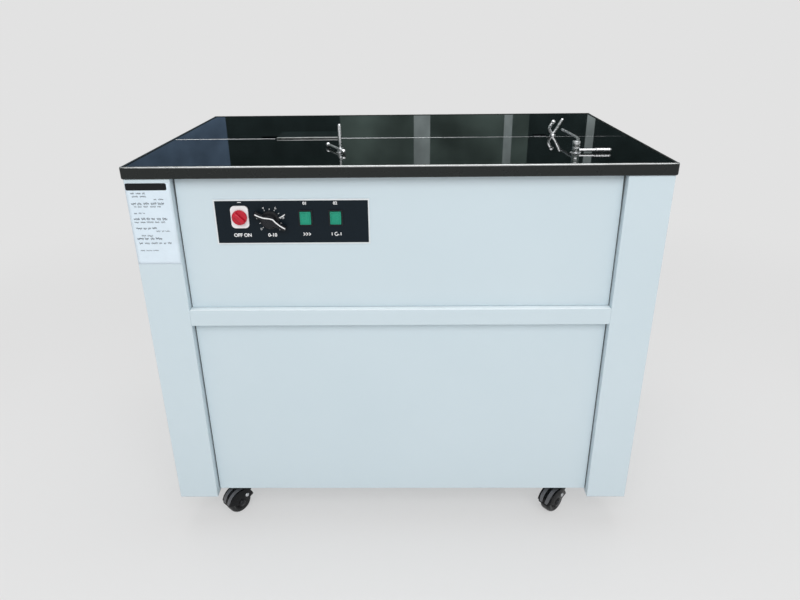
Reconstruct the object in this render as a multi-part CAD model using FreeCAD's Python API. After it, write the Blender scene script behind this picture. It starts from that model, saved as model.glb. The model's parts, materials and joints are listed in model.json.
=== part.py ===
"""Table strapping machine: a castered sheet-metal cabinet under a gloss black worktop.

The frame is +X to the operator's right, +Y away from the operator and +Z up.
The origin is on the floor, under the middle of the worktop. Every size is in millimetres.
"""

import FreeCAD
import Part

import math
import os

V = FreeCAD.Vector
X_AXIS = V(1, 0, 0)
Y_AXIS = V(0, 1, 0)
Z_AXIS = V(0, 0, 1)

# Worktop
TABLE_LENGTH = 895.0
TABLE_DEPTH = 570.0
TABLE_HEIGHT = 735.0
RIM_HEIGHT = 20.0
RIM_WALL = 6.0
RIM_CORNER = 4.5
RIM_EDGE = 2.5
PLATE_THICK = 3.0
PLATE_SINK = 0.8
SEAM_FROM_FRONT = 256.0
SEAM_GAP = 1.6
FRAME_LEDGE = 40.0
FRAME_SHEET = 2.0

# Cabinet
BODY_OVERHANG = 3.0
SHEET = 1.5
POST_FACE = 75.0
POST_FOOT = 69.0
POST_EDGE = 1.2
PANEL_RECESS = 15.0
PANEL_FLANGE_DEPTH = 28.0
PANEL_FLANGE_WIDTH = 16.0
PANEL_GAP = 0.8
PANEL_FOOT = 78.0
RAIL_UNDER_TABLE = 254.0
RAIL_HEIGHT = 30.0
TRAY_THICK = 2.5
TRAY_LIP = 22.0
PANEL_BEND = 1.2

# Shared fits
SHAFT_GAP = 0.1
RUN_GAP = 0.3
FIT_GAP = 0.2
OVERRUN = 5.0
QUARTER_TURN = 90.0

# Places that follow from the sizes above
HALF_LENGTH = TABLE_LENGTH / 2
HALF_DEPTH = TABLE_DEPTH / 2
RIM_BOTTOM = TABLE_HEIGHT - RIM_HEIGHT
RIM_INNER_X = HALF_LENGTH - RIM_WALL
RIM_INNER_Y = HALF_DEPTH - RIM_WALL
PLATE_TOP = TABLE_HEIGHT - PLATE_SINK
PLATE_BOTTOM = PLATE_TOP - PLATE_THICK
FRAME_UNDER = PLATE_BOTTOM - FRAME_SHEET
BODY_X = HALF_LENGTH - BODY_OVERHANG
BODY_Y = HALF_DEPTH - BODY_OVERHANG
BAY_X = BODY_X - POST_FACE
BAY_Y = BODY_Y - POST_FACE
FACE_Y = -BODY_Y + PANEL_RECESS
FLANGE_INSIDE = PANEL_FLANGE_DEPTH + SHEET
TRAY_X = BODY_X - FLANGE_INSIDE
TRAY_Y = BODY_Y - FLANGE_INSIDE
RAIL_TOP = TABLE_HEIGHT - RAIL_UNDER_TABLE
RAIL_BOTTOM = RAIL_TOP - RAIL_HEIGHT
TRAY_TOP = PANEL_FOOT - PANEL_GAP
CASTER_TOP = TRAY_TOP - TRAY_THICK
SEAM_Y = -HALF_DEPTH + SEAM_FROM_FRONT

# Strapping head, under the rear worktop plate
PATH_BEHIND_SEAM = 16.0
HEAD_X = -180.0
CAMSHAFT_ABOVE_SHELF = 54.0
CAMSHAFT_R = 8.0
GRIPPER_PITCH = 36.0
GRIPPER_SIZE_X = 26.0
GRIPPER_SIZE_Y = 22.0
GRIPPER_LIFT = 4.0
GRIPPER_FOOT_EDGE = 6.0
TOOTH_GROOVES = 6
TOOTH_PITCH = 4.0
TOOTH_DEPTH = 1.0
CAM_WIDTH = 9.0
BLOCK_LENGTH = 148.0
BLOCK_HALF_Y = 24.0
BLOCK_UNDER_PLATE = 9.2
BLOCK_HEIGHT = 67.0
STRAP_GROOVE_WIDTH = 17.0
STRAP_GROOVE_DEPTH = 3.5
END_PLATE_THICK = 8.0
CAM_LOBE_R = 38.0

# Slide plate, the polished anvil over the head
SLIDE_LENGTH = 120.0
SLIDE_FRONT_LAP = 3.0
SLIDE_DEPTH = 68.0
SLIDE_THICK = 2.5
SLIDE_TRAVEL = 20.0
ANVIL_LENGTH = 90.0
ANVIL_HALF_Y = 15.0
ANVIL_HEIGHT = 8.0
ANVIL_GAP = 1.5

# Strap inlet, a notch in the rear plate on the left of the head
INLET_LENGTH = 34.0
INLET_SIDE_GAP = 2.5

# Strap outlet and the chute that leads to it
OUTLET_FROM_END = 185.5
OUTLET_LENGTH = 26.0
OUTLET_DEPTH = 26.2
CHUTE_FROM_FEED = 50.0
CHUTE_END_LAP = 4.0
CHUTE_HALF_Y = 13.0
CHUTE_HEIGHT = 15.2

# Shelf that carries the drive and the head
SHELF_UNDER_TABLE = 189.0
SHELF_THICK = 6.0
SHELF_END_GAP = 85.0
SHELF_RIGHT_OF_FEED = 53.0
HANGER_WIDTH = 40.0
HANGER_THICK = 12.0

# Drive train
GEARBOX_LENGTH = 90.0
GEARBOX_HALF_Y = 50.0
GEARBOX_HEIGHT = 104.0
GEARBOX_EDGE = 6.0
INPUT_ABOVE_SHELF = 34.0
PULLEY_STANDOFF = 4.0
PULLEY_WIDTH = 16.0
INPUT_PULLEY_R = 40.0
MOTOR_PULLEY_R = 24.0
GROOVE_DEPTH = 7.0
BELT_WIDTH = 10.0
DRIVE_SHAFT_R = 7.0
SHAFT_BITE = 40.0
MOTOR_UNDER_SHELF = 106.0
MOTOR_R = 60.0
MOTOR_LENGTH = 190.0
MOTOR_EDGE = 8.0
MOTOR_SADDLE_WIDTH = 90.0
MOTOR_SADDLE_INSET = 32.0

# Feed unit
FEED_FROM_DRIVE = 118.0
FEED_UNDER_PLATE = 81.2
FEED_ROLLER_R = 25.0
PINCH_ROLLER_R = 15.0
STRAP_NIP = 0.8
FEED_ROLLER_WIDTH = 22.0
FEED_SHAFT_R = 5.0
PINCH_SHAFT_R = 4.0
FEED_PLATE_WIDTH = 90.0
FEED_PLATE_HEADROOM = 6.2
FEED_PLATE_THICK = 6.0
FEED_PLATE_BEHIND_PATH = 17.0
FEED_MOTOR_R = 35.0
FEED_MOTOR_LENGTH = 90.0

# Strap reel
REEL_FLANGE_R = 180.0
REEL_SIDE_GAP = 10.0
REEL_FLOOR_GAP = 22.8
REEL_CORE_R = 99.0
REEL_WIDTH = 184.0
REEL_BACK_Y = 50.0
REEL_FLANGE_THICK = 6.0
REEL_SHAFT_R = 10.0
REEL_HUB_R = 16.0
REEL_CORE_WALL = 3.0
REEL_EDGE = 2.5
REEL_BEAD_WIDTH = 8.0
REEL_BEAD = 2.0
REEL_NUT_R = 22.0
REEL_NUT_LENGTH = 20.0
STAND_WIDTH = 80.0
STAND_PLATE_THICK = 8.0
STAND_COLLAR = 10.0
STAND_FOOT_LENGTH = 120.0
STAND_FOOT_DEPTH = 90.0
STAND_FOOT_THICK = 6.0

# Casters
CASTER_FROM_END = 118.5
CASTER_FROM_SIDE = 63.0
WHEEL_R = 25.0
WHEEL_WIDTH = 24.0
WHEEL_EDGE = 6.0
WHEEL_TRAIL = 22.0
CASTER_PLATE_X = 52.0
CASTER_PLATE_Y = 44.0
CASTER_PLATE_THICK = 3.0
CASTER_SCREW_X = 21.0
CASTER_SCREW_Y = 17.0
CASTER_HEAD_R = 4.5
CASTER_HEAD = 3.5
CASTER_SCREW_R = 2.5
SWIVEL_R = 21.0
SWIVEL_HEIGHT = 7.0
SWIVEL_EDGE = 2.3
KINGPIN_R = 4.0
KINGPIN_HEAD_R = 7.0
KINGPIN_HEAD = 2.5
FORK_SHEET = 2.5
HOOD_GAP = 1.7
AXLE_R = 4.0
AXLE_HEAD_R = 6.5
AXLE_HEAD = 3.0
# Direction, seen from above, in which each wheel trails behind its swivel
CASTER_TURN = {"front_left": 228.0, "front_right": 222.0, "rear_left": 190.0, "rear_right": 172.0}

# Controls on the front upper panel
FASCIA_FROM_END = 269.5
FASCIA_UNDER_TABLE = 97.0
FASCIA_LENGTH = 256.0
FASCIA_TALL = 74.0
FASCIA_THICK = 1.5
SWITCH_OFFSET = (-87.0, 9.3)
DIAL_OFFSET = (-37.0, 3.6)
BUTTON_OFFSET = {"feed_button": 22.7, "reset_button": 73.2}
BUTTON_ABOVE_MIDDLE = 6.8
BUTTON_WIDTH = 18.4
BUTTON_TALL = 21.8
BUTTON_PROUD = 4.5
BUTTON_LENGTH = 18.0
BUTTON_TRAVEL = 3.0
BEZEL_WALL = 2.2
BEZEL_PROUD = 1.6
SOCKET_WALL = 1.4
SOCKET_DEPTH = 34.0
SWITCH_PLATE_WIDTH = 29.5
SWITCH_PLATE_TALL = 38.0
SWITCH_PLATE_THICK = 3.0
SWITCH_PLATE_CORNER = 7.0
POWER_KNOB_R = 13.0
POWER_KNOB_BASE = 4.0
POWER_GRIP_WIDTH = 8.0
POWER_GRIP_HEIGHT = 6.5
POWER_GRIP_TURN = 45.0
TIMER_SKIRT_R = 16.0
TIMER_SKIRT = 3.0
TIMER_CAP_R = 10.0
TIMER_ARM_WIDTH = 8.0
TIMER_ARM_HEIGHT = 9.0
TIMER_ARM_EDGE = 2.6
# Reach of each pointer arm and its angle from +X, seen from the front
TIMER_ARMS = ((27.0, 150.0), (29.5, -27.0))
KNOB_SHAFT_R = 3.0
KNOB_SHAFT_BITE = 12.0
CONTROL_BODY_SIZE = 28.0
CONTROL_BODY_DEPTH = 36.0

# Door hinge
DOOR_GAP = 1.0
DOOR_TOP_GAP = 1.5
DOOR_DEPTH = 10.0
HINGE_BEHIND_FACE = 5.2
HINGE_ABOVE_EDGE = 6.0
HINGE_PIN_R = 2.5
HINGE_PIN_LENGTH = 11.0

# Chrome strap guides on the worktop
FORK_FROM_OUTLET = 10.0
FORK_BASE_R = 6.0
FORK_BASE = 0.8
FORK_WIRE_R = 2.8
FORK_BALL_R = 4.0
FORK_LEFT_BEND = (-6.0, 10.0)
FORK_LEFT_TIP = (-1.0, 23.0)
FORK_RIGHT_TIP = (16.0, 27.0)
LEVER_FROM_END = 143.5
LEVER_FROM_FRONT = 96.0
LEVER_FOOT_R = 9.5
LEVER_FOOT = 0.6
LEVER_PIN_R = 3.0
LEVER_HUB_R = 6.5
LEVER_HUB = 19.0
LEVER_ROD_R = 2.4
LEVER_REACH = 61.0
LEVER_GRIP_R = 3.2
LEVER_GRIP = 28.0
LEVER_ARM_KNEE = (9.0, 27.0)
LEVER_ARM_TIP = (3.0, 126.0)
LEVER_ARM_RISE = 1.0
PIN_FROM_HEAD = 78.0
PIN_FROM_FRONT = 115.0
PIN_R = 2.6
PIN_HEIGHT = 49.0
PIN_BASE_R = 7.0
PIN_BASE = 0.6
FINGER_HUB_R = 5.2
FINGER_HUB = 7.2
FINGER_ROD_R = 2.3
FINGER_BALL_R = 4.0
FINGER_FRONT = (7.0, -16.0)
FINGER_BACK = (-27.0, 50.0)

# Panel furniture
SCREW_HEAD_R = 4.5
SCREW_HEAD = 2.5
SCREW_R = 2.5
SCREW_INSET = 12.0
SCREW_FROM_END = 70.0
LOUVRE_LENGTH = 130.0
LOUVRE_TALL = 6.0
LOUVRE_CORNER = 2.0
LOUVRE_PITCH = 18.0
LOUVRE_ROWS = 8
LOUVRE_SIDE_X = 110.0
LOUVRE_ABOVE_FOOT = 102.0
GLAND_FROM_END = 147.5
GLAND_ABOVE_TRAY = 52.8
GLAND_BORE_R = 5.0
GLAND_THREAD_R = 8.0
GLAND_BODY_R = 12.0
GLAND_OUTSIDE = 15.0
GLAND_INSIDE = 9.0

# Electrical box on the base tray
BOX_SIDE_GAP = 15.0
BOX_BACK_GAP = 72.5
BOX_LENGTH = 200.0
BOX_DEPTH = 240.0
BOX_HEIGHT = 250.0
BOX_WALL = 2.0
BOX_LID_LAP = 1.0

# Heater arm beside the gripper block
HEATER_FROM_HEAD = 62.0
HEATER_LUG = 24.0
HEATER_LUG_THICK = 12.0
HEATER_PIN_R = 4.0
HEATER_HUB_R = 9.0
HEATER_BLADE_LENGTH = 60.0
HEATER_BLADE_WIDTH = 16.0
HEATER_BLADE_THICK = 1.5
HEATER_BLADE_LIFT = 1.2


# Places that several pieces share
PATH_Y = SEAM_Y + PATH_BEHIND_SEAM
SHELF_TOP = TABLE_HEIGHT - SHELF_UNDER_TABLE
BLOCK_TOP = PLATE_BOTTOM - BLOCK_UNDER_PLATE
GROOVE_FLOOR = BLOCK_TOP - STRAP_GROOVE_DEPTH
CAMSHAFT_HEIGHT = SHELF_TOP + CAMSHAFT_ABOVE_SHELF
GRIPPER_FOOT = CAMSHAFT_HEIGHT + CAM_LOBE_R + RUN_GAP
DRIVE_X = HEAD_X + BLOCK_LENGTH / 2 + END_PLATE_THICK + GEARBOX_LENGTH / 2
INPUT_HEIGHT = SHELF_TOP + INPUT_ABOVE_SHELF
MOTOR_HEIGHT = SHELF_TOP - MOTOR_UNDER_SHELF
FEED_X = DRIVE_X + FEED_FROM_DRIVE
FEED_AXIS_HEIGHT = PLATE_BOTTOM - FEED_UNDER_PLATE
FEED_PLATE_TOP = PLATE_BOTTOM - FEED_PLATE_HEADROOM
CHUTE_START_X = FEED_X + CHUTE_FROM_FEED
SHELF_LEFT = -TRAY_X + SHELF_END_GAP
SHELF_RIGHT = FEED_X + SHELF_RIGHT_OF_FEED
REEL_X = TRAY_X - REEL_SIDE_GAP - REEL_FLANGE_R
REEL_AXIS_HEIGHT = TRAY_TOP + REEL_FLOOR_GAP + REEL_FLANGE_R
CASTER_X = HALF_LENGTH - CASTER_FROM_END
CASTER_Y = HALF_DEPTH - CASTER_FROM_SIDE
FASCIA_X = -HALF_LENGTH + FASCIA_FROM_END
FASCIA_HEIGHT = TABLE_HEIGHT - FASCIA_UNDER_TABLE
SWITCH_X, SWITCH_Z = FASCIA_X + SWITCH_OFFSET[0], FASCIA_HEIGHT + SWITCH_OFFSET[1]
DIAL_X, DIAL_Z = FASCIA_X + DIAL_OFFSET[0], FASCIA_HEIGHT + DIAL_OFFSET[1]
BUTTON_X = {name: FASCIA_X + offset for name, offset in BUTTON_OFFSET.items()}
BUTTON_Z = FASCIA_HEIGHT + BUTTON_ABOVE_MIDDLE
OUTLET_X = HALF_LENGTH - OUTLET_FROM_END
FORK_X = OUTLET_X + OUTLET_LENGTH + FORK_FROM_OUTLET
LEVER_X = HALF_LENGTH - LEVER_FROM_END
PIN_X = HEAD_X + PIN_FROM_HEAD
HEATER_X = HEAD_X + HEATER_FROM_HEAD
LOUVRE_BASE_Z = PANEL_FOOT + LOUVRE_ABOVE_FOOT
GLAND_X = -HALF_LENGTH + GLAND_FROM_END
GLAND_Z = TRAY_TOP + GLAND_ABOVE_TRAY
BOX_LEFT = -TRAY_X + BOX_SIDE_GAP
BOX_FRONT = TRAY_Y - BOX_BACK_GAP - BOX_DEPTH
HINGE_Y = FACE_Y + HINGE_BEHIND_FACE
HINGE_Z = PANEL_FOOT + HINGE_ABOVE_EDGE
FASCIA_FRONT = FACE_Y - FASCIA_THICK
LEVER_Y = -HALF_DEPTH + LEVER_FROM_FRONT
PIN_Y = -HALF_DEPTH + PIN_FROM_FRONT
HEATER_Y = PATH_Y + BLOCK_HALF_Y + HEATER_LUG / 2
PULLEY_Y = PATH_Y + GEARBOX_HALF_Y + PULLEY_STANDOFF
PINCH_HEIGHT = FEED_AXIS_HEIGHT + FEED_ROLLER_R + STRAP_NIP + PINCH_ROLLER_R
FEED_PLATE_Y = PATH_Y + FEED_PLATE_BEHIND_PATH


def box(x0, x1, y0, y1, z0, z1):
    """A block between two corners."""
    return Part.makeBox(x1 - x0, y1 - y0, z1 - z0, V(x0, y0, z0))


def disc(radius, length, place, axis):
    """A round bar of a radius and length from a place along an axis."""
    return Part.makeCylinder(radius, length, place, axis)


def ring(outer, inner, length, place, axis):
    """A tube with a through bore."""
    return disc(outer, length, place, axis).cut(disc(inner, length, place, axis))


def fused(first, *others):
    """The pieces joined into one solid, with coplanar faces merged."""
    return first.multiFuse(list(others)).removeSplitter()


def rod(start, end, radius):
    """A round bar between two points."""
    run = end.sub(start)
    return disc(radius, run.Length, start, run)


def wire_form(points, radius):
    """Round bars joined at each point by a ball of the bar's own radius."""
    bars = [rod(a, b, radius) for a, b in zip(points, points[1:])]
    balls = [Part.makeSphere(radius, p) for p in points]
    return fused(bars[0], *bars[1:], *balls)


def edges_along(shape, axis, keep=lambda edge: True):
    """The straight edges that run along an axis and pass a test."""
    found = []
    for edge in shape.Edges:
        if len(edge.Vertexes) == 2 and isinstance(edge.Curve, Part.Line):
            if abs(edge.Curve.Direction.dot(axis)) > math.cos(math.radians(1)) and keep(edge):
                found.append(edge)
    return found


def placed(shape, turn_deg, place):
    """The shape turned about +Z at the origin and then moved to a place."""
    copy = shape.copy()
    copy.rotate(V(0, 0, 0), Z_AXIS, turn_deg)
    copy.translate(place)
    return copy


def panel_tray(width, tall, depth, sheet):
    """A folded sheet panel: its face looks along -Y at y = 0, with lips going back along +Y."""
    half = width / 2
    outside = box(-half, half, 0, depth, 0, tall)
    outside = outside.makeFillet(PANEL_BEND, [e for e in outside.Edges if e.BoundBox.YMax < sheet])
    inside = box(-half + sheet, half - sheet, sheet, depth + OVERRUN, sheet, tall - sheet)
    return outside.cut(inside)


# Worktop pieces

def table_rim():
    """The dark edge band round the worktop, rounded at its corners and outer edges."""
    block = box(-HALF_LENGTH, HALF_LENGTH, -HALF_DEPTH, HALF_DEPTH, RIM_BOTTOM, TABLE_HEIGHT)
    block = block.makeFillet(RIM_CORNER, edges_along(block, Z_AXIS))
    rounded = [e for e in block.Edges if abs(e.BoundBox.ZLength) < RIM_EDGE]
    block = block.makeFillet(RIM_EDGE, rounded)
    hole = box(-RIM_INNER_X, RIM_INNER_X, -RIM_INNER_Y, RIM_INNER_Y, RIM_BOTTOM, TABLE_HEIGHT)
    return block.cut(hole)


def table_frame():
    """An angle frame inside the rim: a standing leg and a ledge under the worktop plates."""
    block = box(-RIM_INNER_X, RIM_INNER_X, -RIM_INNER_Y, RIM_INNER_Y, RIM_BOTTOM, PLATE_BOTTOM)
    leg_x = RIM_INNER_X - FRAME_SHEET
    leg_y = RIM_INNER_Y - FRAME_SHEET
    under = box(-leg_x, leg_x, -leg_y, leg_y, RIM_BOTTOM, FRAME_UNDER)
    hole_x = RIM_INNER_X - FRAME_LEDGE
    hole_y = RIM_INNER_Y - FRAME_LEDGE
    middle = box(-hole_x, hole_x, -hole_y, hole_y, RIM_BOTTOM, PLATE_BOTTOM)
    return block.cut(under).cut(middle)


def table_plate_front():
    """The front worktop plate, from the rim to the seam."""
    return box(-RIM_INNER_X, RIM_INNER_X, -RIM_INNER_Y, SEAM_Y - SEAM_GAP / 2, PLATE_BOTTOM, PLATE_TOP)


def table_plate_rear():
    """The rear worktop plate, notched for the anvil, the strap inlet and the strap outlet."""
    front = SEAM_Y + SEAM_GAP / 2
    plate = box(-RIM_INNER_X, RIM_INNER_X, front, RIM_INNER_Y, PLATE_BOTTOM, PLATE_TOP)
    anvil_half = ANVIL_LENGTH / 2 + ANVIL_GAP
    anvil_back = PATH_Y + ANVIL_HALF_Y + SLIDE_TRAVEL + ANVIL_GAP
    anvil_notch = box(
        HEAD_X - anvil_half, HEAD_X + anvil_half, front, anvil_back, PLATE_BOTTOM, PLATE_TOP
    )
    outlet_notch = box(
        OUTLET_X, OUTLET_X + OUTLET_LENGTH, front, front + OUTLET_DEPTH, PLATE_BOTTOM, PLATE_TOP
    )
    inlet_half = STRAP_GROOVE_WIDTH / 2 + INLET_SIDE_GAP
    inlet_right = HEAD_X - anvil_half
    inlet_notch = box(
        inlet_right - INLET_LENGTH - SLIDE_LENGTH / 2 + anvil_half, inlet_right,
        PATH_Y - inlet_half, PATH_Y + inlet_half, PLATE_BOTTOM, PLATE_TOP,
    )
    return plate.cut(anvil_notch).cut(outlet_notch).cut(inlet_notch)


def slide_plate():
    """The polished plate over the head, with the anvil block under it. It slides back to free the strap."""
    front = SEAM_Y - SLIDE_FRONT_LAP
    bottom = PLATE_TOP + RUN_GAP
    half = SLIDE_LENGTH / 2
    top = box(HEAD_X - half, HEAD_X + half, front, front + SLIDE_DEPTH, bottom, bottom + SLIDE_THICK)
    top = top.makeFillet(SLIDE_THICK, edges_along(top, Z_AXIS))
    anvil_half = ANVIL_LENGTH / 2
    anvil = box(
        HEAD_X - anvil_half, HEAD_X + anvil_half, PATH_Y - ANVIL_HALF_Y, PATH_Y + ANVIL_HALF_Y,
        bottom - ANVIL_HEIGHT, bottom,
    )
    return fused(top, anvil)


# Cabinet pieces

def corner_post(side_x, side_y):
    """A folded corner post. side_x and side_y are +1 or -1 for its corner of the cabinet."""
    far = POST_FACE
    lip = POST_FACE + PANEL_FLANGE_WIDTH
    deep = PANEL_FLANGE_DEPTH
    tall = RIM_BOTTOM - POST_FOOT
    folds = [
        (0, far, 0, SHEET),
        (0, SHEET, 0, far),
        (far - SHEET, far, 0, deep + SHEET),
        (far - SHEET, lip, deep, deep + SHEET),
        (0, deep + SHEET, far - SHEET, far),
        (deep, deep + SHEET, far - SHEET, lip),
    ]
    sheets = [box(x0, x1, y0, y1, 0, tall) for x0, x1, y0, y1 in folds]
    post = fused(sheets[0], *sheets[1:])
    corners = (V(0, 0, 0), V(far, 0, 0), V(0, far, 0))

    def on_a_corner(edge):
        foot = V(edge.Vertexes[0].X, edge.Vertexes[0].Y, 0)
        return any(foot.distanceToPoint(corner) < SHEET / 2 for corner in corners)

    post = post.makeFillet(POST_EDGE, edges_along(post, Z_AXIS, on_a_corner))
    if side_x > 0:
        post = post.mirror(V(0, 0, 0), X_AXIS)
    if side_y > 0:
        post = post.mirror(V(0, 0, 0), Y_AXIS)
    post.translate(V(side_x * BODY_X, side_y * BODY_Y, POST_FOOT))
    return post


def base_tray():
    """The floor of the cabinet, with lips welded to the posts' flanges."""
    outside = box(-TRAY_X, TRAY_X, -TRAY_Y, TRAY_Y, CASTER_TOP, CASTER_TOP + TRAY_LIP)
    inside = box(
        -TRAY_X + SHEET, TRAY_X - SHEET, -TRAY_Y + SHEET, TRAY_Y - SHEET,
        TRAY_TOP, CASTER_TOP + TRAY_LIP,
    )
    return outside.cut(inside).cut(caster_screw_holes())


def side_panel(side_x):
    """A recessed end panel between two posts."""
    depth = PANEL_FLANGE_DEPTH - PANEL_RECESS
    tray = panel_tray(2 * (BAY_Y - PANEL_GAP), FRAME_UNDER - PANEL_FOOT, depth, SHEET)
    return placed(tray, side_x * QUARTER_TURN, V(side_x * (BODY_X - PANEL_RECESS), 0, PANEL_FOOT))


def rear_panel():
    """The recessed back panel, with two banks of vent slots and a hole for the cable gland."""
    depth = PANEL_FLANGE_DEPTH - PANEL_RECESS
    tray = panel_tray(2 * (BAY_X - PANEL_GAP), FRAME_UNDER - PANEL_FOOT, depth, SHEET)
    tray = placed(tray, 2 * QUARTER_TURN, V(0, -FACE_Y, PANEL_FOOT))
    back = -FACE_Y + OVERRUN
    slots = []
    for centre in (-LOUVRE_SIDE_X, LOUVRE_SIDE_X):
        for row in range(LOUVRE_ROWS):
            low = LOUVRE_BASE_Z + row * LOUVRE_PITCH
            slot = box(
                centre - LOUVRE_LENGTH / 2, centre + LOUVRE_LENGTH / 2,
                -FACE_Y - SHEET - OVERRUN, back, low, low + LOUVRE_TALL,
            )
            slots.append(slot.makeFillet(LOUVRE_CORNER, edges_along(slot, Y_AXIS)))
    hole = disc(GLAND_THREAD_R, SHEET + 2 * OVERRUN, V(GLAND_X, back, GLAND_Z), -Y_AXIS)
    return tray.cut(Part.makeCompound(slots)).cut(hole)


def front_upper_panel():
    """The panel that carries the controls, pierced for each switch body."""
    depth = PANEL_FLANGE_DEPTH - PANEL_RECESS
    tray = panel_tray(2 * (BAY_X - PANEL_GAP), FRAME_UNDER - RAIL_TOP, depth, SHEET)
    tray.translate(V(0, FACE_Y, RAIL_TOP))
    return tray.cut(control_holes(FACE_Y - OVERRUN, SHEET + 2 * OVERRUN))


def front_rail():
    """The channel across the front, flush with the posts, over the door."""
    outside = box(-BAY_X, BAY_X, -BODY_Y, -BODY_Y + PANEL_FLANGE_DEPTH, RAIL_BOTTOM, RAIL_TOP)
    inside = box(
        -BAY_X, BAY_X, -BODY_Y + SHEET, -BODY_Y + PANEL_FLANGE_DEPTH + OVERRUN,
        RAIL_BOTTOM + SHEET, RAIL_TOP - SHEET,
    )
    rail = outside.cut(inside)
    front = edges_along(rail, X_AXIS, lambda edge: edge.Vertexes[0].Y < -BODY_Y + SHEET / 2)
    return rail.makeFillet(POST_EDGE, front)


def front_door():
    """The lower front panel. It drops forward on two pins near its bottom corners."""
    tall = RAIL_BOTTOM - DOOR_TOP_GAP - PANEL_FOOT
    half = BAY_X - DOOR_GAP
    door = panel_tray(2 * half, tall, DOOR_DEPTH, SHEET)
    door.translate(V(0, FACE_Y, PANEL_FOOT))
    hole = disc(HINGE_PIN_R + SHAFT_GAP, 2 * BAY_X, V(-BAY_X, HINGE_Y, HINGE_Z), X_AXIS)
    return door.cut(hole)


def door_hinge_pins():
    """Two studs welded to the posts' inner faces, on which the door turns."""
    pins = []
    for side in (-1, 1):
        foot = V(side * BAY_X, HINGE_Y, HINGE_Z)
        pins.append(disc(HINGE_PIN_R, HINGE_PIN_LENGTH, foot, -side * X_AXIS))
    return Part.makeCompound(pins)


def screw_places():
    """Turn about +Z and place of every panel screw: two down each edge of the end and back panels."""
    heights = (PANEL_FOOT + SCREW_FROM_END, RIM_BOTTOM - SCREW_FROM_END)
    places = []
    for z in heights:
        for side in (-1, 1):
            along = side * (BAY_Y - SCREW_INSET)
            places.append((QUARTER_TURN, V(BODY_X - PANEL_RECESS, along, z)))
            places.append((-QUARTER_TURN, V(-BODY_X + PANEL_RECESS, along, z)))
            places.append((2 * QUARTER_TURN, V(side * (BAY_X - SCREW_INSET), -FACE_Y, z)))
    return places


def screws_at(radius, length, start):
    """One round bar at every screw place, from start (negative is outside the face) inwards."""
    bar = disc(radius, length, V(0, start, 0), Y_AXIS)
    return [placed(bar, turn, place) for turn, place in screw_places()]


def caster_screw_places():
    """The four screw places of every caster plate, on the plate's underside."""
    low = CASTER_TOP - CASTER_PLATE_THICK
    return [
        V(x + step_x, y + step_y, low)
        for _, x, y in caster_places()
        for step_x in (-CASTER_SCREW_X, CASTER_SCREW_X)
        for step_y in (-CASTER_SCREW_Y, CASTER_SCREW_Y)
    ]


def cabinet_screws():
    """Pan heads that hold the panels to the posts, and the screws that hold the casters to the tray."""
    reach = PANEL_FLANGE_DEPTH - PANEL_RECESS
    heads = screws_at(SCREW_HEAD_R, SCREW_HEAD, -SCREW_HEAD)
    shanks = screws_at(SCREW_R, reach, 0)
    screws = [fused(head, shank) for head, shank in zip(heads, shanks)]
    for place in caster_screw_places():
        head = disc(CASTER_HEAD_R, CASTER_HEAD, place, -Z_AXIS)
        shank = disc(CASTER_SCREW_R, CASTER_PLATE_THICK + TRAY_THICK, place, Z_AXIS)
        screws.append(fused(head, shank))
    return Part.makeCompound(screws)


def caster_screw_holes():
    """The screws' holes through the caster plates and the tray."""
    deep = CASTER_PLATE_THICK + TRAY_THICK
    return Part.makeCompound([disc(CASTER_SCREW_R, deep, place, Z_AXIS) for place in caster_screw_places()])


def cable_gland():
    """The mains cable gland in the back panel, empty."""
    inside_face = -FACE_Y - SHEET
    outer = disc(GLAND_BODY_R, GLAND_OUTSIDE, V(GLAND_X, -FACE_Y, GLAND_Z), Y_AXIS)
    tip = [e for e in outer.Edges if e.BoundBox.YMin > -FACE_Y + GLAND_OUTSIDE / 2 and e.Closed]
    outer = outer.makeFillet((GLAND_BODY_R - GLAND_THREAD_R) / 2, tip)
    thread = disc(GLAND_THREAD_R, SHEET, V(GLAND_X, inside_face, GLAND_Z), Y_AXIS)
    nut = disc(GLAND_BODY_R, GLAND_INSIDE, V(GLAND_X, inside_face, GLAND_Z), -Y_AXIS)
    bore_start = V(GLAND_X, inside_face - GLAND_INSIDE, GLAND_Z)
    bore = disc(GLAND_BORE_R, GLAND_OUTSIDE + SHEET + GLAND_INSIDE, bore_start, Y_AXIS)
    return fused(outer, thread, nut).cut(bore)


# Controls

def control_holes(start_y, length):
    """Clearance holes for the switch shafts and the button sockets."""
    tools = [
        disc(KNOB_SHAFT_R + 2 * RUN_GAP, length, V(x, start_y, z), Y_AXIS)
        for x, z in ((SWITCH_X, SWITCH_Z), (DIAL_X, DIAL_Z))
    ]
    half_x = BUTTON_WIDTH / 2 + RUN_GAP + SOCKET_WALL
    half_z = BUTTON_TALL / 2 + RUN_GAP + SOCKET_WALL
    for x in BUTTON_X.values():
        tools.append(
            box(x - half_x, x + half_x, start_y, start_y + length, BUTTON_Z - half_z, BUTTON_Z + half_z)
        )
    return Part.makeCompound(tools)


def control_fascia():
    """The black label plate behind the controls."""
    half = FASCIA_LENGTH / 2
    low = FASCIA_HEIGHT - FASCIA_TALL / 2
    plate = box(FASCIA_X - half, FASCIA_X + half, FASCIA_FRONT, FACE_Y, low, low + FASCIA_TALL)
    return plate.cut(control_holes(FASCIA_FRONT - OVERRUN, FASCIA_THICK + 2 * OVERRUN))


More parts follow.
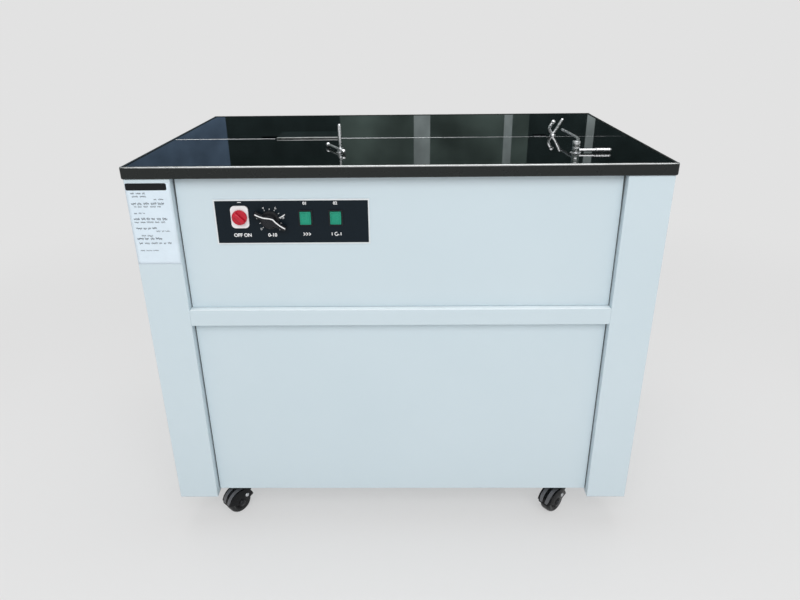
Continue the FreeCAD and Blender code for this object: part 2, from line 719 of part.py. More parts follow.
def switch_plate():
    """The white plate behind the power switch knob."""
    half_x = SWITCH_PLATE_WIDTH / 2
    half_z = SWITCH_PLATE_TALL / 2
    front = FASCIA_FRONT - SWITCH_PLATE_THICK
    plate = box(
        SWITCH_X - half_x, SWITCH_X + half_x, front, FASCIA_FRONT, SWITCH_Z - half_z, SWITCH_Z + half_z
    )
    plate = plate.makeFillet(SWITCH_PLATE_CORNER, edges_along(plate, Y_AXIS))
    hole = disc(KNOB_SHAFT_R + 2 * RUN_GAP, SWITCH_PLATE_THICK, V(SWITCH_X, front, SWITCH_Z), Y_AXIS)
    return plate.cut(hole)


def switch_bodies():
    """Behind the panel: the power switch, the timer and the two button sockets with their bezels."""
    inside = FACE_Y + SHEET
    solids = []
    half = CONTROL_BODY_SIZE / 2
    for x, z in ((SWITCH_X, SWITCH_Z), (DIAL_X, DIAL_Z)):
        body = box(x - half, x + half, inside, inside + CONTROL_BODY_DEPTH, z - half, z + half)
        bore = disc(KNOB_SHAFT_R + SHAFT_GAP, KNOB_SHAFT_BITE + RUN_GAP, V(x, inside, z), Y_AXIS)
        solids.append(body.cut(bore))
    inner_x = BUTTON_WIDTH / 2 + RUN_GAP
    inner_z = BUTTON_TALL / 2 + RUN_GAP
    bezel_front = FASCIA_FRONT - BEZEL_PROUD
    for x in BUTTON_X.values():
        neck_x = inner_x + SOCKET_WALL
        neck_z = inner_z + SOCKET_WALL
        neck = box(
            x - neck_x, x + neck_x, FASCIA_FRONT, FASCIA_FRONT + SOCKET_DEPTH,
            BUTTON_Z - neck_z, BUTTON_Z + neck_z,
        )
        lip_x = inner_x + BEZEL_WALL
        lip_z = inner_z + BEZEL_WALL
        bezel = box(x - lip_x, x + lip_x, bezel_front, FASCIA_FRONT, BUTTON_Z - lip_z, BUTTON_Z + lip_z)
        bezel = bezel.makeFillet(BEZEL_WALL / 2, edges_along(bezel, Y_AXIS))
        pocket_depth = BUTTON_LENGTH - BUTTON_PROUD + BUTTON_TRAVEL + 2 * RUN_GAP
        pocket = box(
            x - inner_x, x + inner_x, bezel_front, FASCIA_FRONT + pocket_depth,
            BUTTON_Z - inner_z, BUTTON_Z + inner_z,
        )
        solids.append(fused(neck, bezel).cut(pocket))
    return Part.makeCompound(solids)


def push_button(x):
    """A square push button that slides in its socket."""
    half_x = BUTTON_WIDTH / 2
    half_z = BUTTON_TALL / 2
    front = FASCIA_FRONT - BUTTON_PROUD
    body = box(x - half_x, x + half_x, front, front + BUTTON_LENGTH, BUTTON_Z - half_z, BUTTON_Z + half_z)
    rim = [e for e in body.Edges if e.BoundBox.YMax < front + SHEET / 2]
    return body.makeFillet(SHEET / 2, rim)


def power_knob():
    """The red rotary switch knob: a round base, a grip across it and a shaft behind."""
    back = FASCIA_FRONT - SWITCH_PLATE_THICK - RUN_GAP
    base = disc(POWER_KNOB_R, POWER_KNOB_BASE, V(SWITCH_X, back, SWITCH_Z), -Y_AXIS)
    grip_half = POWER_GRIP_WIDTH / 2
    grip_y = back - POWER_KNOB_BASE
    grip = box(
        SWITCH_X - POWER_KNOB_R, SWITCH_X + POWER_KNOB_R, grip_y - POWER_GRIP_HEIGHT, grip_y,
        SWITCH_Z - grip_half, SWITCH_Z + grip_half,
    )
    round_end = disc(POWER_KNOB_R, POWER_GRIP_HEIGHT, V(SWITCH_X, grip_y, SWITCH_Z), -Y_AXIS)
    grip = grip.common(round_end)
    grip.rotate(V(SWITCH_X, 0, SWITCH_Z), Y_AXIS, POWER_GRIP_TURN)
    reach = FACE_Y + SHEET + KNOB_SHAFT_BITE - back
    shaft = disc(KNOB_SHAFT_R, reach, V(SWITCH_X, back, SWITCH_Z), Y_AXIS)
    return fused(base, grip, shaft)


def timer_knob():
    """The black timer knob: a skirt, a cap and two pointer arms that meet at an angle."""
    back = FASCIA_FRONT - RUN_GAP
    skirt = disc(TIMER_SKIRT_R, TIMER_SKIRT, V(DIAL_X, back, DIAL_Z), -Y_AXIS)
    cap_y = back - TIMER_SKIRT
    cap = disc(TIMER_CAP_R, TIMER_ARM_HEIGHT, V(DIAL_X, cap_y, DIAL_Z), -Y_AXIS)
    half = TIMER_ARM_WIDTH / 2
    arms = []
    for length, angle in TIMER_ARMS:
        arm = box(DIAL_X, DIAL_X + length, cap_y - TIMER_ARM_HEIGHT, cap_y, DIAL_Z - half, DIAL_Z + half)
        tip = edges_along(arm, Y_AXIS, lambda e: e.Vertexes[0].X > DIAL_X + TIMER_CAP_R)
        arm = arm.makeFillet(TIMER_ARM_EDGE, tip)
        arm.rotate(V(DIAL_X, 0, DIAL_Z), Y_AXIS, -angle)
        arms.append(arm)
    reach = FACE_Y + SHEET + KNOB_SHAFT_BITE - back
    shaft = disc(KNOB_SHAFT_R, reach, V(DIAL_X, back, DIAL_Z), Y_AXIS)
    return fused(skirt, cap, *arms, shaft)


# Chrome strap guides

def strap_fork():
    """A two-pronged wire fork on a round base, just right of the strap outlet."""
    base = disc(FORK_BASE_R, FORK_BASE, V(FORK_X, PATH_Y, PLATE_TOP), Z_AXIS)
    root = V(FORK_X, PATH_Y, PLATE_TOP + FORK_BASE + FORK_WIRE_R / 2)
    bend, left_tip, right_tip = [
        root + V(x, 0, z) for x, z in (FORK_LEFT_BEND, FORK_LEFT_TIP, FORK_RIGHT_TIP)
    ]
    left = wire_form([root, bend, left_tip], FORK_WIRE_R)
    right = rod(root, right_tip, FORK_WIRE_R)
    tips = [Part.makeSphere(FORK_BALL_R, left_tip), Part.makeSphere(FORK_WIRE_R, right_tip)]
    under_plate = disc(FORK_BASE_R, FORK_WIRE_R, V(FORK_X, PATH_Y, PLATE_TOP), -Z_AXIS)
    return fused(base, left, right, *tips).cut(under_plate)


def guide_posts():
    """The lever's foot with its pivot pin, and the upright pin beside the head."""
    pin_top = LEVER_FOOT + LEVER_HUB + 3 * RUN_GAP
    lever_foot = fused(
        disc(LEVER_FOOT_R, LEVER_FOOT, V(LEVER_X, LEVER_Y, PLATE_TOP), Z_AXIS),
        disc(LEVER_PIN_R, pin_top, V(LEVER_X, LEVER_Y, PLATE_TOP), Z_AXIS),
    )
    straight = PIN_HEIGHT - PIN_R
    upright = fused(
        disc(PIN_BASE_R, PIN_BASE, V(PIN_X, PIN_Y, PLATE_TOP), Z_AXIS),
        disc(PIN_R, straight, V(PIN_X, PIN_Y, PLATE_TOP), Z_AXIS),
        Part.makeSphere(PIN_R, V(PIN_X, PIN_Y, PLATE_TOP + straight)),
    )
    return Part.makeCompound([lever_foot, upright])


def guide_lever():
    """The lever: a low bar with a grip to the right, and a long bowed arm from the top of its hub."""
    bottom = PLATE_TOP + LEVER_FOOT + RUN_GAP
    hub = disc(LEVER_HUB_R, LEVER_HUB, V(LEVER_X, LEVER_Y, bottom), Z_AXIS)
    low = V(LEVER_X, LEVER_Y, bottom + LEVER_GRIP_R)
    end = low + V(LEVER_REACH - LEVER_GRIP_R, 0, 0)
    bar = disc(LEVER_ROD_R, LEVER_REACH - LEVER_GRIP_R, low, X_AXIS)
    grip = disc(LEVER_GRIP_R, LEVER_GRIP, end - V(LEVER_GRIP, 0, 0), X_AXIS)
    grip_end = Part.makeSphere(LEVER_GRIP_R, end)
    high = V(LEVER_X, LEVER_Y, bottom + LEVER_HUB - LEVER_ROD_R)
    knee, tip = [high + V(x, y, LEVER_ARM_RISE) for x, y in (LEVER_ARM_KNEE, LEVER_ARM_TIP)]
    arm = wire_form([high, knee, tip], LEVER_ROD_R)
    bore = disc(LEVER_PIN_R + SHAFT_GAP, LEVER_HUB + OVERRUN, V(LEVER_X, LEVER_Y, bottom), Z_AXIS)
    return fused(hub, bar, grip, grip_end, arm).cut(bore)


def guide_finger():
    """The small double-ended finger that swings on the upright pin."""
    bottom = PLATE_TOP + PIN_BASE + RUN_GAP
    middle = V(PIN_X, PIN_Y, bottom + FINGER_HUB / 2)
    hub = disc(FINGER_HUB_R, FINGER_HUB, V(PIN_X, PIN_Y, bottom), Z_AXIS)
    ends = [middle + V(x, y, 0) for x, y in (FINGER_FRONT, FINGER_BACK)]
    arms = [wire_form([middle, end], FINGER_ROD_R) for end in ends]
    balls = [Part.makeSphere(FINGER_BALL_R, end) for end in ends]
    bore = disc(PIN_R + SHAFT_GAP, FINGER_HUB, V(PIN_X, PIN_Y, bottom), Z_AXIS)
    return fused(hub, *arms, *balls).cut(bore)


# Strapping head

def head_shelf():
    """The cross shelf that carries the head and the drive, hung from the worktop frame."""
    span_y = TRAY_Y
    plate = box(SHELF_LEFT, SHELF_RIGHT, -span_y, span_y, SHELF_TOP - SHELF_THICK, SHELF_TOP)
    hangers = []
    for x0 in (SHELF_LEFT, SHELF_RIGHT - HANGER_WIDTH):
        for y0 in (-span_y, span_y - HANGER_THICK):
            hangers.append(box(x0, x0 + HANGER_WIDTH, y0, y0 + HANGER_THICK, SHELF_TOP, FRAME_UNDER))
    pulley_front = PATH_Y + GEARBOX_HALF_Y
    pulley_back = pulley_front + 2 * PULLEY_STANDOFF + PULLEY_WIDTH
    half = INPUT_PULLEY_R + OVERRUN
    window = box(
        DRIVE_X - half, DRIVE_X + half, pulley_front, pulley_back, SHELF_TOP - SHELF_THICK, SHELF_TOP
    )
    return fused(plate, *hangers).cut(window)


def head_frame():
    """Two bearing plates, joined by tie bars, that hold the gripper block and the camshaft."""
    half_block = BLOCK_LENGTH / 2
    half_y = GEARBOX_HALF_Y
    plates = []
    for x0 in (HEAD_X - half_block - END_PLATE_THICK, HEAD_X + half_block):
        x1 = x0 + END_PLATE_THICK
        plates.append(box(x0, x1, PATH_Y - half_y, PATH_Y + half_y, SHELF_TOP, GROOVE_FLOOR))
    ties = []
    for side in (-1, 1):
        tie_y = PATH_Y + side * (half_y - CAMSHAFT_R)
        foot = V(HEAD_X - half_block, tie_y, SHELF_TOP + 2 * CAMSHAFT_R)
        ties.append(disc(CAMSHAFT_R, BLOCK_LENGTH, foot, X_AXIS))
    start = V(HEAD_X - half_block - END_PLATE_THICK, PATH_Y, CAMSHAFT_HEIGHT)
    bore = disc(CAMSHAFT_R + SHAFT_GAP, BLOCK_LENGTH + 2 * END_PLATE_THICK, start, X_AXIS)
    return fused(plates[0], plates[1], *ties).cut(bore)


def gripper_centres():
    """The place along X of the left gripper, the press and the right gripper."""
    return [HEAD_X + step * GRIPPER_PITCH for step in (-1, 0, 1)]


def gripper_block():
    """The guide block with three upright windows, a strap groove on top and the heater's lug behind."""
    half = BLOCK_LENGTH / 2
    low = BLOCK_TOP - BLOCK_HEIGHT
    block = box(HEAD_X - half, HEAD_X + half, PATH_Y - BLOCK_HALF_Y, PATH_Y + BLOCK_HALF_Y, low, BLOCK_TOP)
    lug_y = PATH_Y + BLOCK_HALF_Y
    lug_top = BLOCK_TOP - HEATER_LUG_THICK + HEATER_BLADE_LIFT
    lug = box(
        HEATER_X - HEATER_LUG / 2, HEATER_X + HEATER_LUG / 2, lug_y, lug_y + HEATER_LUG,
        lug_top - HEATER_LUG_THICK, lug_top,
    )
    pin = disc(HEATER_PIN_R, HEATER_LUG_THICK, V(HEATER_X, HEATER_Y, lug_top), Z_AXIS)
    body = fused(block, lug, pin)
    groove = box(
        HEAD_X - half, HEAD_X + half, PATH_Y - STRAP_GROOVE_WIDTH / 2, PATH_Y + STRAP_GROOVE_WIDTH / 2,
        GROOVE_FLOOR, BLOCK_TOP,
    )
    body = body.cut(groove)
    for x in gripper_centres():
        half_x = GRIPPER_SIZE_X / 2 + FIT_GAP
        half_y = GRIPPER_SIZE_Y / 2 + FIT_GAP
        body = body.cut(box(x - half_x, x + half_x, PATH_Y - half_y, PATH_Y + half_y, low, BLOCK_TOP))
    return body


def gripper(x, toothed):
    """One upright slider of the head, with serrations on top where it grips the strap."""
    half_x = GRIPPER_SIZE_X / 2
    half_y = GRIPPER_SIZE_Y / 2
    body = box(x - half_x, x + half_x, PATH_Y - half_y, PATH_Y + half_y, GRIPPER_FOOT, GROOVE_FLOOR)
    foot = edges_along(body, Y_AXIS, lambda e: abs(e.Vertexes[0].Z - GRIPPER_FOOT) < SHEET)
    body = body.makeFillet(GRIPPER_FOOT_EDGE, foot)
    if not toothed:
        return body
    cuts = []
    low = GROOVE_FLOOR - TOOTH_DEPTH
    for step in range(TOOTH_GROOVES):
        x0 = x + (step - (TOOTH_GROOVES - 1) / 2) * TOOTH_PITCH - TOOTH_PITCH / 4
        cuts.append(box(x0, x0 + TOOTH_PITCH / 2, PATH_Y - half_y, PATH_Y + half_y, low, GROOVE_FLOOR))
    return body.cut(Part.makeCompound(cuts))


def camshaft():
    """The shaft with five cams. Each cam is a round disc with a smaller lobe beside it."""
    start_x = HEAD_X - BLOCK_LENGTH / 2 - 2 * END_PLATE_THICK
    end_x = HEAD_X + BLOCK_LENGTH / 2 + END_PLATE_THICK + SHAFT_BITE
    shaft = disc(CAMSHAFT_R, end_x - start_x, V(start_x, PATH_Y, CAMSHAFT_HEIGHT), X_AXIS)
    base_r = CAM_LOBE_R - 2 * GRIPPER_LIFT
    lobe_r = base_r - 2 * GRIPPER_LIFT
    edge = BLOCK_LENGTH / 2 - 2 * END_PLATE_THICK + GRIPPER_LIFT
    places = [HEAD_X - edge, *gripper_centres(), HEAD_X + edge]
    cams = []
    for order, x in enumerate(places):
        turn = 2 * math.pi * order / len(places)
        throw = CAM_LOBE_R - lobe_r
        off = V(0, throw * math.cos(turn), throw * math.sin(turn))
        centre = V(x - CAM_WIDTH / 2, PATH_Y, CAMSHAFT_HEIGHT)
        cams.append(disc(base_r, CAM_WIDTH, centre, X_AXIS))
        cams.append(disc(lobe_r, CAM_WIDTH, centre + off, X_AXIS))
    return fused(shaft, *cams)


def heater_arm():
    """The heater blade on its swinging hub."""
    low = BLOCK_TOP - HEATER_LUG_THICK + HEATER_BLADE_LIFT + RUN_GAP
    blade_low = BLOCK_TOP + HEATER_BLADE_LIFT
    blade_top = blade_low + HEATER_BLADE_THICK
    hub = disc(HEATER_HUB_R, blade_top - low, V(HEATER_X, HEATER_Y, low), Z_AXIS)
    half = HEATER_BLADE_WIDTH / 2
    tip_x = HEATER_X - HEATER_BLADE_LENGTH
    blade = box(tip_x, HEATER_X, HEATER_Y - half, HEATER_Y + half, blade_low, blade_top)
    bore = disc(HEATER_PIN_R + SHAFT_GAP, blade_top - low, V(HEATER_X, HEATER_Y, low), Z_AXIS)
    return fused(hub, blade).cut(bore)


# Drive

def gearbox():
    """The worm gear housing that drives the camshaft."""
    left = HEAD_X + BLOCK_LENGTH / 2 + END_PLATE_THICK
    y0 = PATH_Y - GEARBOX_HALF_Y
    y1 = PATH_Y + GEARBOX_HALF_Y
    body = box(left, left + GEARBOX_LENGTH, y0, y1, SHELF_TOP, SHELF_TOP + GEARBOX_HEIGHT)
    body = body.makeFillet(GEARBOX_EDGE, edges_along(body, Z_AXIS))
    output = disc(CAMSHAFT_R + SHAFT_GAP, SHAFT_BITE + RUN_GAP, V(left, PATH_Y, CAMSHAFT_HEIGHT), X_AXIS)
    intake = disc(DRIVE_SHAFT_R + SHAFT_GAP, SHAFT_BITE / 2 + RUN_GAP, V(DRIVE_X, y1, INPUT_HEIGHT), -Y_AXIS)
    return body.cut(output).cut(intake)


def grooved_pulley(radius, height, shaft_start_y):
    """A V-belt pulley on its shaft."""
    centre = V(DRIVE_X, PULLEY_Y, height)
    wheel = disc(radius, PULLEY_WIDTH, centre, Y_AXIS)
    groove_y = PULLEY_Y + (PULLEY_WIDTH - BELT_WIDTH) / 2
    groove = ring(radius, radius - GROOVE_DEPTH, BELT_WIDTH, V(DRIVE_X, groove_y, height), Y_AXIS)
    shaft = disc(DRIVE_SHAFT_R, PULLEY_Y - shaft_start_y, V(DRIVE_X, shaft_start_y, height), Y_AXIS)
    return fused(wheel.cut(groove), shaft)


def loop_block(upper_r, lower_r, y0, width):
    """The solid inside a belt that runs round two circles, the upper one the larger."""
    run = INPUT_HEIGHT - MOTOR_HEIGHT
    tilt = math.asin((upper_r - lower_r) / run)
    side, rise = math.cos(tilt), math.sin(tilt)
    points = []
    for sign in (-1, 1):
        points.append(V(DRIVE_X + sign * upper_r * side, y0, INPUT_HEIGHT - upper_r * rise))
        points.append(V(DRIVE_X + sign * lower_r * side, y0, MOTOR_HEIGHT - lower_r * rise))
    outline = Part.makePolygon([points[0], points[1], points[3], points[2], points[0]])
    middle = Part.Face(outline).extrude(V(0, width, 0))
    upper = disc(upper_r, width, V(DRIVE_X, y0, INPUT_HEIGHT), Y_AXIS)
    lower = disc(lower_r, width, V(DRIVE_X, y0, MOTOR_HEIGHT), Y_AXIS)
    return fused(upper, middle, lower)


def drive_belt():
    """The V-belt from the motor pulley up to the gearbox pulley."""
    width = BELT_WIDTH - 2 * RUN_GAP
    y0 = PULLEY_Y + (PULLEY_WIDTH - width) / 2
    thick = GROOVE_DEPTH - RUN_GAP
    upper = INPUT_PULLEY_R - GROOVE_DEPTH + RUN_GAP
    lower = MOTOR_PULLEY_R - GROOVE_DEPTH + RUN_GAP
    outside = loop_block(upper + thick, lower + thick, y0, width)
    return outside.cut(loop_block(upper, lower, y0, width))


def main_motor():
    """The main motor, hung from the shelf by its saddle."""
    back = PULLEY_Y - PULLEY_STANDOFF
    body = disc(MOTOR_R, MOTOR_LENGTH, V(DRIVE_X, back - MOTOR_LENGTH, MOTOR_HEIGHT), Y_AXIS)
    ends = [e for e in body.Edges if e.Closed]
    body = body.makeFillet(MOTOR_EDGE, ends)
    half = MOTOR_SADDLE_WIDTH / 2
    saddle = box(
        DRIVE_X - half, DRIVE_X + half, back - MOTOR_LENGTH + MOTOR_SADDLE_INSET, back - MOTOR_SADDLE_INSET,
        MOTOR_HEIGHT, SHELF_TOP - SHELF_THICK,
    )
    bore = disc(DRIVE_SHAFT_R + SHAFT_GAP, SHAFT_BITE + RUN_GAP, V(DRIVE_X, back, MOTOR_HEIGHT), -Y_AXIS)
    return fused(body, saddle).cut(bore)


# Feed unit

def feed_motor():
    """The feed motor behind its upright plate, with the fixed spindle of the pinch roller."""
    half = FEED_PLATE_WIDTH / 2
    plate = box(
        FEED_X - half, FEED_X + half, FEED_PLATE_Y, FEED_PLATE_Y + FEED_PLATE_THICK,
        SHELF_TOP, FEED_PLATE_TOP,
    )
    rear = FEED_PLATE_Y + FEED_PLATE_THICK
    motor = disc(FEED_MOTOR_R, FEED_MOTOR_LENGTH, V(FEED_X, rear, FEED_AXIS_HEIGHT), Y_AXIS)
    spindle_end = PATH_Y - FEED_ROLLER_WIDTH / 2
    spindle = disc(PINCH_SHAFT_R, FEED_PLATE_Y - spindle_end, V(FEED_X, spindle_end, PINCH_HEIGHT), Y_AXIS)
    bore_length = FEED_PLATE_THICK + SHAFT_BITE / 2 + RUN_GAP
    bore = disc(FEED_SHAFT_R + SHAFT_GAP, bore_length, V(FEED_X, FEED_PLATE_Y, FEED_AXIS_HEIGHT), Y_AXIS)
    return fused(plate, motor, spindle).cut(bore)


def feed_roller():
    """The driven feed roller on the motor's shaft."""
    front = PATH_Y - FEED_ROLLER_WIDTH / 2
    tyre = disc(FEED_ROLLER_R, FEED_ROLLER_WIDTH, V(FEED_X, front, FEED_AXIS_HEIGHT), Y_AXIS)
    end = FEED_PLATE_Y + FEED_PLATE_THICK + SHAFT_BITE / 2
    shaft = disc(FEED_SHAFT_R, end - front, V(FEED_X, front, FEED_AXIS_HEIGHT), Y_AXIS)
    return fused(tyre, shaft)


def pinch_roller():
    """The idler that presses the strap on the feed roller."""
    front = PATH_Y - FEED_ROLLER_WIDTH / 2
    return ring(
        PINCH_ROLLER_R, PINCH_SHAFT_R + SHAFT_GAP, FEED_ROLLER_WIDTH,
        V(FEED_X, front, PINCH_HEIGHT), Y_AXIS,
    )


def strap_chute():
    """The channel under the rear plate that leads the strap to the outlet, closed at its far end."""
    end = OUTLET_X + OUTLET_LENGTH + CHUTE_END_LAP
    low = PLATE_BOTTOM - CHUTE_HEIGHT
    y0, y1 = PATH_Y - CHUTE_HALF_Y, PATH_Y + CHUTE_HALF_Y
    outside = box(CHUTE_START_X, end, y0, y1, low, PLATE_BOTTOM)
    inside = box(CHUTE_START_X, end - SHEET, y0 + SHEET, y1 - SHEET, low + SHEET, PLATE_BOTTOM)
    return outside.cut(inside)


# Reel

def reel_stand():
    """The upright stand on the base tray, with the reel's shaft and its collar."""
    half = STAND_WIDTH / 2
    face = REEL_BACK_Y + STAND_COLLAR
    plate = box(REEL_X - half, REEL_X + half, face, face + STAND_PLATE_THICK, TRAY_TOP, REEL_AXIS_HEIGHT)
    head = disc(half, STAND_PLATE_THICK, V(REEL_X, face, REEL_AXIS_HEIGHT), Y_AXIS)
    foot_y = face + STAND_PLATE_THICK / 2
    foot = box(
        REEL_X - STAND_FOOT_LENGTH / 2, REEL_X + STAND_FOOT_LENGTH / 2,
        foot_y - STAND_FOOT_DEPTH / 2, foot_y + STAND_FOOT_DEPTH / 2,
        TRAY_TOP, TRAY_TOP + STAND_FOOT_THICK,
    )
    collar = disc(REEL_HUB_R, STAND_COLLAR - RUN_GAP, V(REEL_X, face, REEL_AXIS_HEIGHT), -Y_AXIS)
    reach = STAND_COLLAR + REEL_WIDTH + 2 * REEL_FLANGE_THICK + REEL_NUT_LENGTH
    shaft = disc(REEL_SHAFT_R, reach, V(REEL_X, face, REEL_AXIS_HEIGHT), -Y_AXIS)
    return fused(plate, head, foot, collar, shaft)


def reel_drum():
    """The core of the reel with its fixed rear flange, as two discs pressed together."""
    flange_front = REEL_BACK_Y - REEL_FLANGE_THICK
    core_front = flange_front - REEL_WIDTH
    bore_r = REEL_SHAFT_R + SHAFT_GAP
    rear = reel_flange(bore_r, V(REEL_X, flange_front, REEL_AXIS_HEIGHT), Y_AXIS)
    core = ring(REEL_CORE_R, bore_r, REEL_WIDTH, V(REEL_X, core_front, REEL_AXIS_HEIGHT), Y_AXIS)
    hollow = ring(
        REEL_CORE_R - REEL_CORE_WALL, REEL_HUB_R, REEL_WIDTH - REEL_CORE_WALL,
        V(REEL_X, core_front, REEL_AXIS_HEIGHT), Y_AXIS,
    )
    hub_front = core_front - REEL_FLANGE_THICK - REEL_NUT_LENGTH
    hub = ring(REEL_HUB_R, bore_r, core_front - hub_front, V(REEL_X, hub_front, REEL_AXIS_HEIGHT), Y_AXIS)
    return Part.makeCompound([rear, fused(core.cut(hollow), hub)])


def reel_flange(bore_r, place, axis):
    """A reel flange with a rounded edge and a stiffening bead on its outer face, which axis points to."""
    plate = disc(REEL_FLANGE_R, REEL_FLANGE_THICK, place, axis)
    plate = plate.makeFillet(REEL_EDGE, [e for e in plate.Edges if e.Closed])
    bead_r = (REEL_FLANGE_R + REEL_CORE_R) / 2
    bead = ring(bead_r + REEL_BEAD_WIDTH, bead_r, REEL_FLANGE_THICK + REEL_BEAD, place, axis)
    return fused(plate, bead).cut(disc(bore_r, REEL_FLANGE_THICK, place, axis))


def reel_flange_outer():
    """The loose front flange of the reel and the hand nut that clamps it."""
    core_front = REEL_BACK_Y - REEL_FLANGE_THICK - REEL_WIDTH
    flange_front = core_front - REEL_FLANGE_THICK
    centre = V(REEL_X, flange_front, REEL_AXIS_HEIGHT)
    flange = reel_flange(REEL_HUB_R, V(REEL_X, core_front, REEL_AXIS_HEIGHT), -Y_AXIS)
    nut = ring(REEL_NUT_R, REEL_HUB_R, REEL_NUT_LENGTH, centre, -Y_AXIS)
    return Part.makeCompound([flange, nut])


def control_box():
    """The closed electrical box on the base tray, with a lid that laps its front."""
    body = box(
        BOX_LEFT, BOX_LEFT + BOX_LENGTH, BOX_FRONT, BOX_FRONT + BOX_DEPTH, TRAY_TOP, TRAY_TOP + BOX_HEIGHT
    )
    hollow = box(
        BOX_LEFT + BOX_WALL, BOX_LEFT + BOX_LENGTH - BOX_WALL, BOX_FRONT, BOX_FRONT + BOX_DEPTH - BOX_WALL,
        TRAY_TOP + BOX_WALL, TRAY_TOP + BOX_HEIGHT - BOX_WALL,
    )
    lid = box(
        BOX_LEFT - BOX_LID_LAP, BOX_LEFT + BOX_LENGTH + BOX_LID_LAP, BOX_FRONT - BOX_WALL, BOX_FRONT,
        TRAY_TOP, TRAY_TOP + BOX_HEIGHT + BOX_LID_LAP,
    )
    return Part.makeCompound([body.cut(hollow), lid])


# Casters

def caster_plates():
    """Four caster top plates, each with the kingpin that its fork swivels on."""
    low = CASTER_TOP - CASTER_PLATE_THICK
    pin_length = SWIVEL_HEIGHT + 2 * RUN_GAP + KINGPIN_HEAD
    plates = []
    for _, x, y in caster_places():
        plate = box(
            x - CASTER_PLATE_X / 2, x + CASTER_PLATE_X / 2, y - CASTER_PLATE_Y / 2, y + CASTER_PLATE_Y / 2,
            low, CASTER_TOP,
        )
        plate = plate.makeFillet(KINGPIN_R, edges_along(plate, Z_AXIS))
        pin = disc(KINGPIN_R, pin_length, V(x, y, low), -Z_AXIS)
        head = disc(KINGPIN_HEAD_R, KINGPIN_HEAD, V(x, y, low - pin_length), Z_AXIS)
        plates.append(fused(plate, pin, head))
    return Part.makeCompound(plates).cut(caster_screw_holes())


def caster_places():
    """Name, x and y of each caster's swivel axis."""
    return [
        ("front_left", -CASTER_X, -CASTER_Y),
        ("front_right", CASTER_X, -CASTER_Y),
        ("rear_left", -CASTER_X, CASTER_Y),
        ("rear_right", CASTER_X, CASTER_Y),
    ]


def caster_fork():
    """A fork that trails along +X from its swivel at the origin, with its wheel's axle."""
    top = CASTER_TOP - CASTER_PLATE_THICK - RUN_GAP
    crown = top - SWIVEL_HEIGHT
    cup = disc(SWIVEL_R, SWIVEL_HEIGHT, V(0, 0, crown), Z_AXIS)
    upper = [e for e in cup.Edges if e.Closed and e.BoundBox.ZMin > crown + SWIVEL_HEIGHT / 2]
    cup = cup.makeFillet(SWIVEL_EDGE, upper)
    inner = WHEEL_WIDTH / 2 + 2 * RUN_GAP
    outer = inner + FORK_SHEET
    axle_x = WHEEL_TRAIL
    back_x = -SWIVEL_R / 2
    front_x = SWIVEL_R / 2
    pad = AXLE_HEAD_R + FORK_SHEET / 2
    legs = []
    for side in (-1, 1):
        y0 = min(side * inner, side * outer)
        outline = Part.makePolygon([
            V(back_x, y0, crown), V(front_x, y0, crown), V(axle_x + pad, y0, WHEEL_R),
            V(axle_x + pad / 2, y0, WHEEL_R - pad), V(axle_x - pad / 2, y0, WHEEL_R - pad),
            V(axle_x - pad, y0, WHEEL_R), V(back_x, y0, crown),
        ])
        leg = Part.Face(outline).extrude(V(0, FORK_SHEET, 0))
        legs.append(fused(leg, disc(pad, FORK_SHEET, V(axle_x, y0, WHEEL_R), Y_AXIS)))
    hole = disc(KINGPIN_R + SHAFT_GAP, SWIVEL_HEIGHT, V(0, 0, crown), Z_AXIS)
    fork = fused(cup.cut(hole), *legs, wheel_hood(inner, outer))
    fork = fork.cut(disc(AXLE_R, 2 * outer, V(axle_x, -outer, WHEEL_R), Y_AXIS))
    axle = disc(AXLE_R, 2 * outer, V(axle_x, -outer, WHEEL_R), Y_AXIS)
    heads = [
        disc(AXLE_HEAD_R, AXLE_HEAD, V(axle_x, -outer, WHEEL_R), -Y_AXIS),
        disc(AXLE_HEAD_R, AXLE_HEAD, V(axle_x, outer, WHEEL_R), Y_AXIS),
    ]
    return Part.makeCompound([fork, fused(axle, *heads)])


def wheel_hood(inner, outer):
    """The hood over the wheel's upper half, with its two cheeks. inner and outer are a cheek's faces in Y."""
    inside_r = WHEEL_R + HOOD_GAP
    outside_r = inside_r + FORK_SHEET
    arch = ring(outside_r, inside_r, 2 * outer, V(WHEEL_TRAIL, -outer, WHEEL_R), Y_AXIS)
    cheeks = [disc(outside_r, FORK_SHEET, V(WHEEL_TRAIL, y0, WHEEL_R), Y_AXIS) for y0 in (-outer, inner)]
    reach = outside_r + OVERRUN
    lower_half = box(
        WHEEL_TRAIL - reach, WHEEL_TRAIL + reach, -outer - OVERRUN, outer + OVERRUN, WHEEL_R - reach, WHEEL_R,
    )
    return fused(arch, *cheeks).cut(lower_half)


def caster_wheel():
    """A wheel about Y at the fork's axle place."""
    half = WHEEL_WIDTH / 2
    tyre = disc(WHEEL_R, WHEEL_WIDTH, V(WHEEL_TRAIL, -half, WHEEL_R), Y_AXIS)
    tyre = tyre.makeFillet(WHEEL_EDGE, [e for e in tyre.Edges if e.Closed])
    dish_r = WHEEL_R - 2 * WHEEL_EDGE
    dish_depth = WHEEL_EDGE / 2
    for y0 in (-half, half - dish_depth):
        tyre = tyre.cut(ring(dish_r, AXLE_HEAD_R, dish_depth, V(WHEEL_TRAIL, y0, WHEEL_R), Y_AXIS))
    return tyre.cut(disc(AXLE_R + SHAFT_GAP, WHEEL_WIDTH, V(WHEEL_TRAIL, -half, WHEEL_R), Y_AXIS))


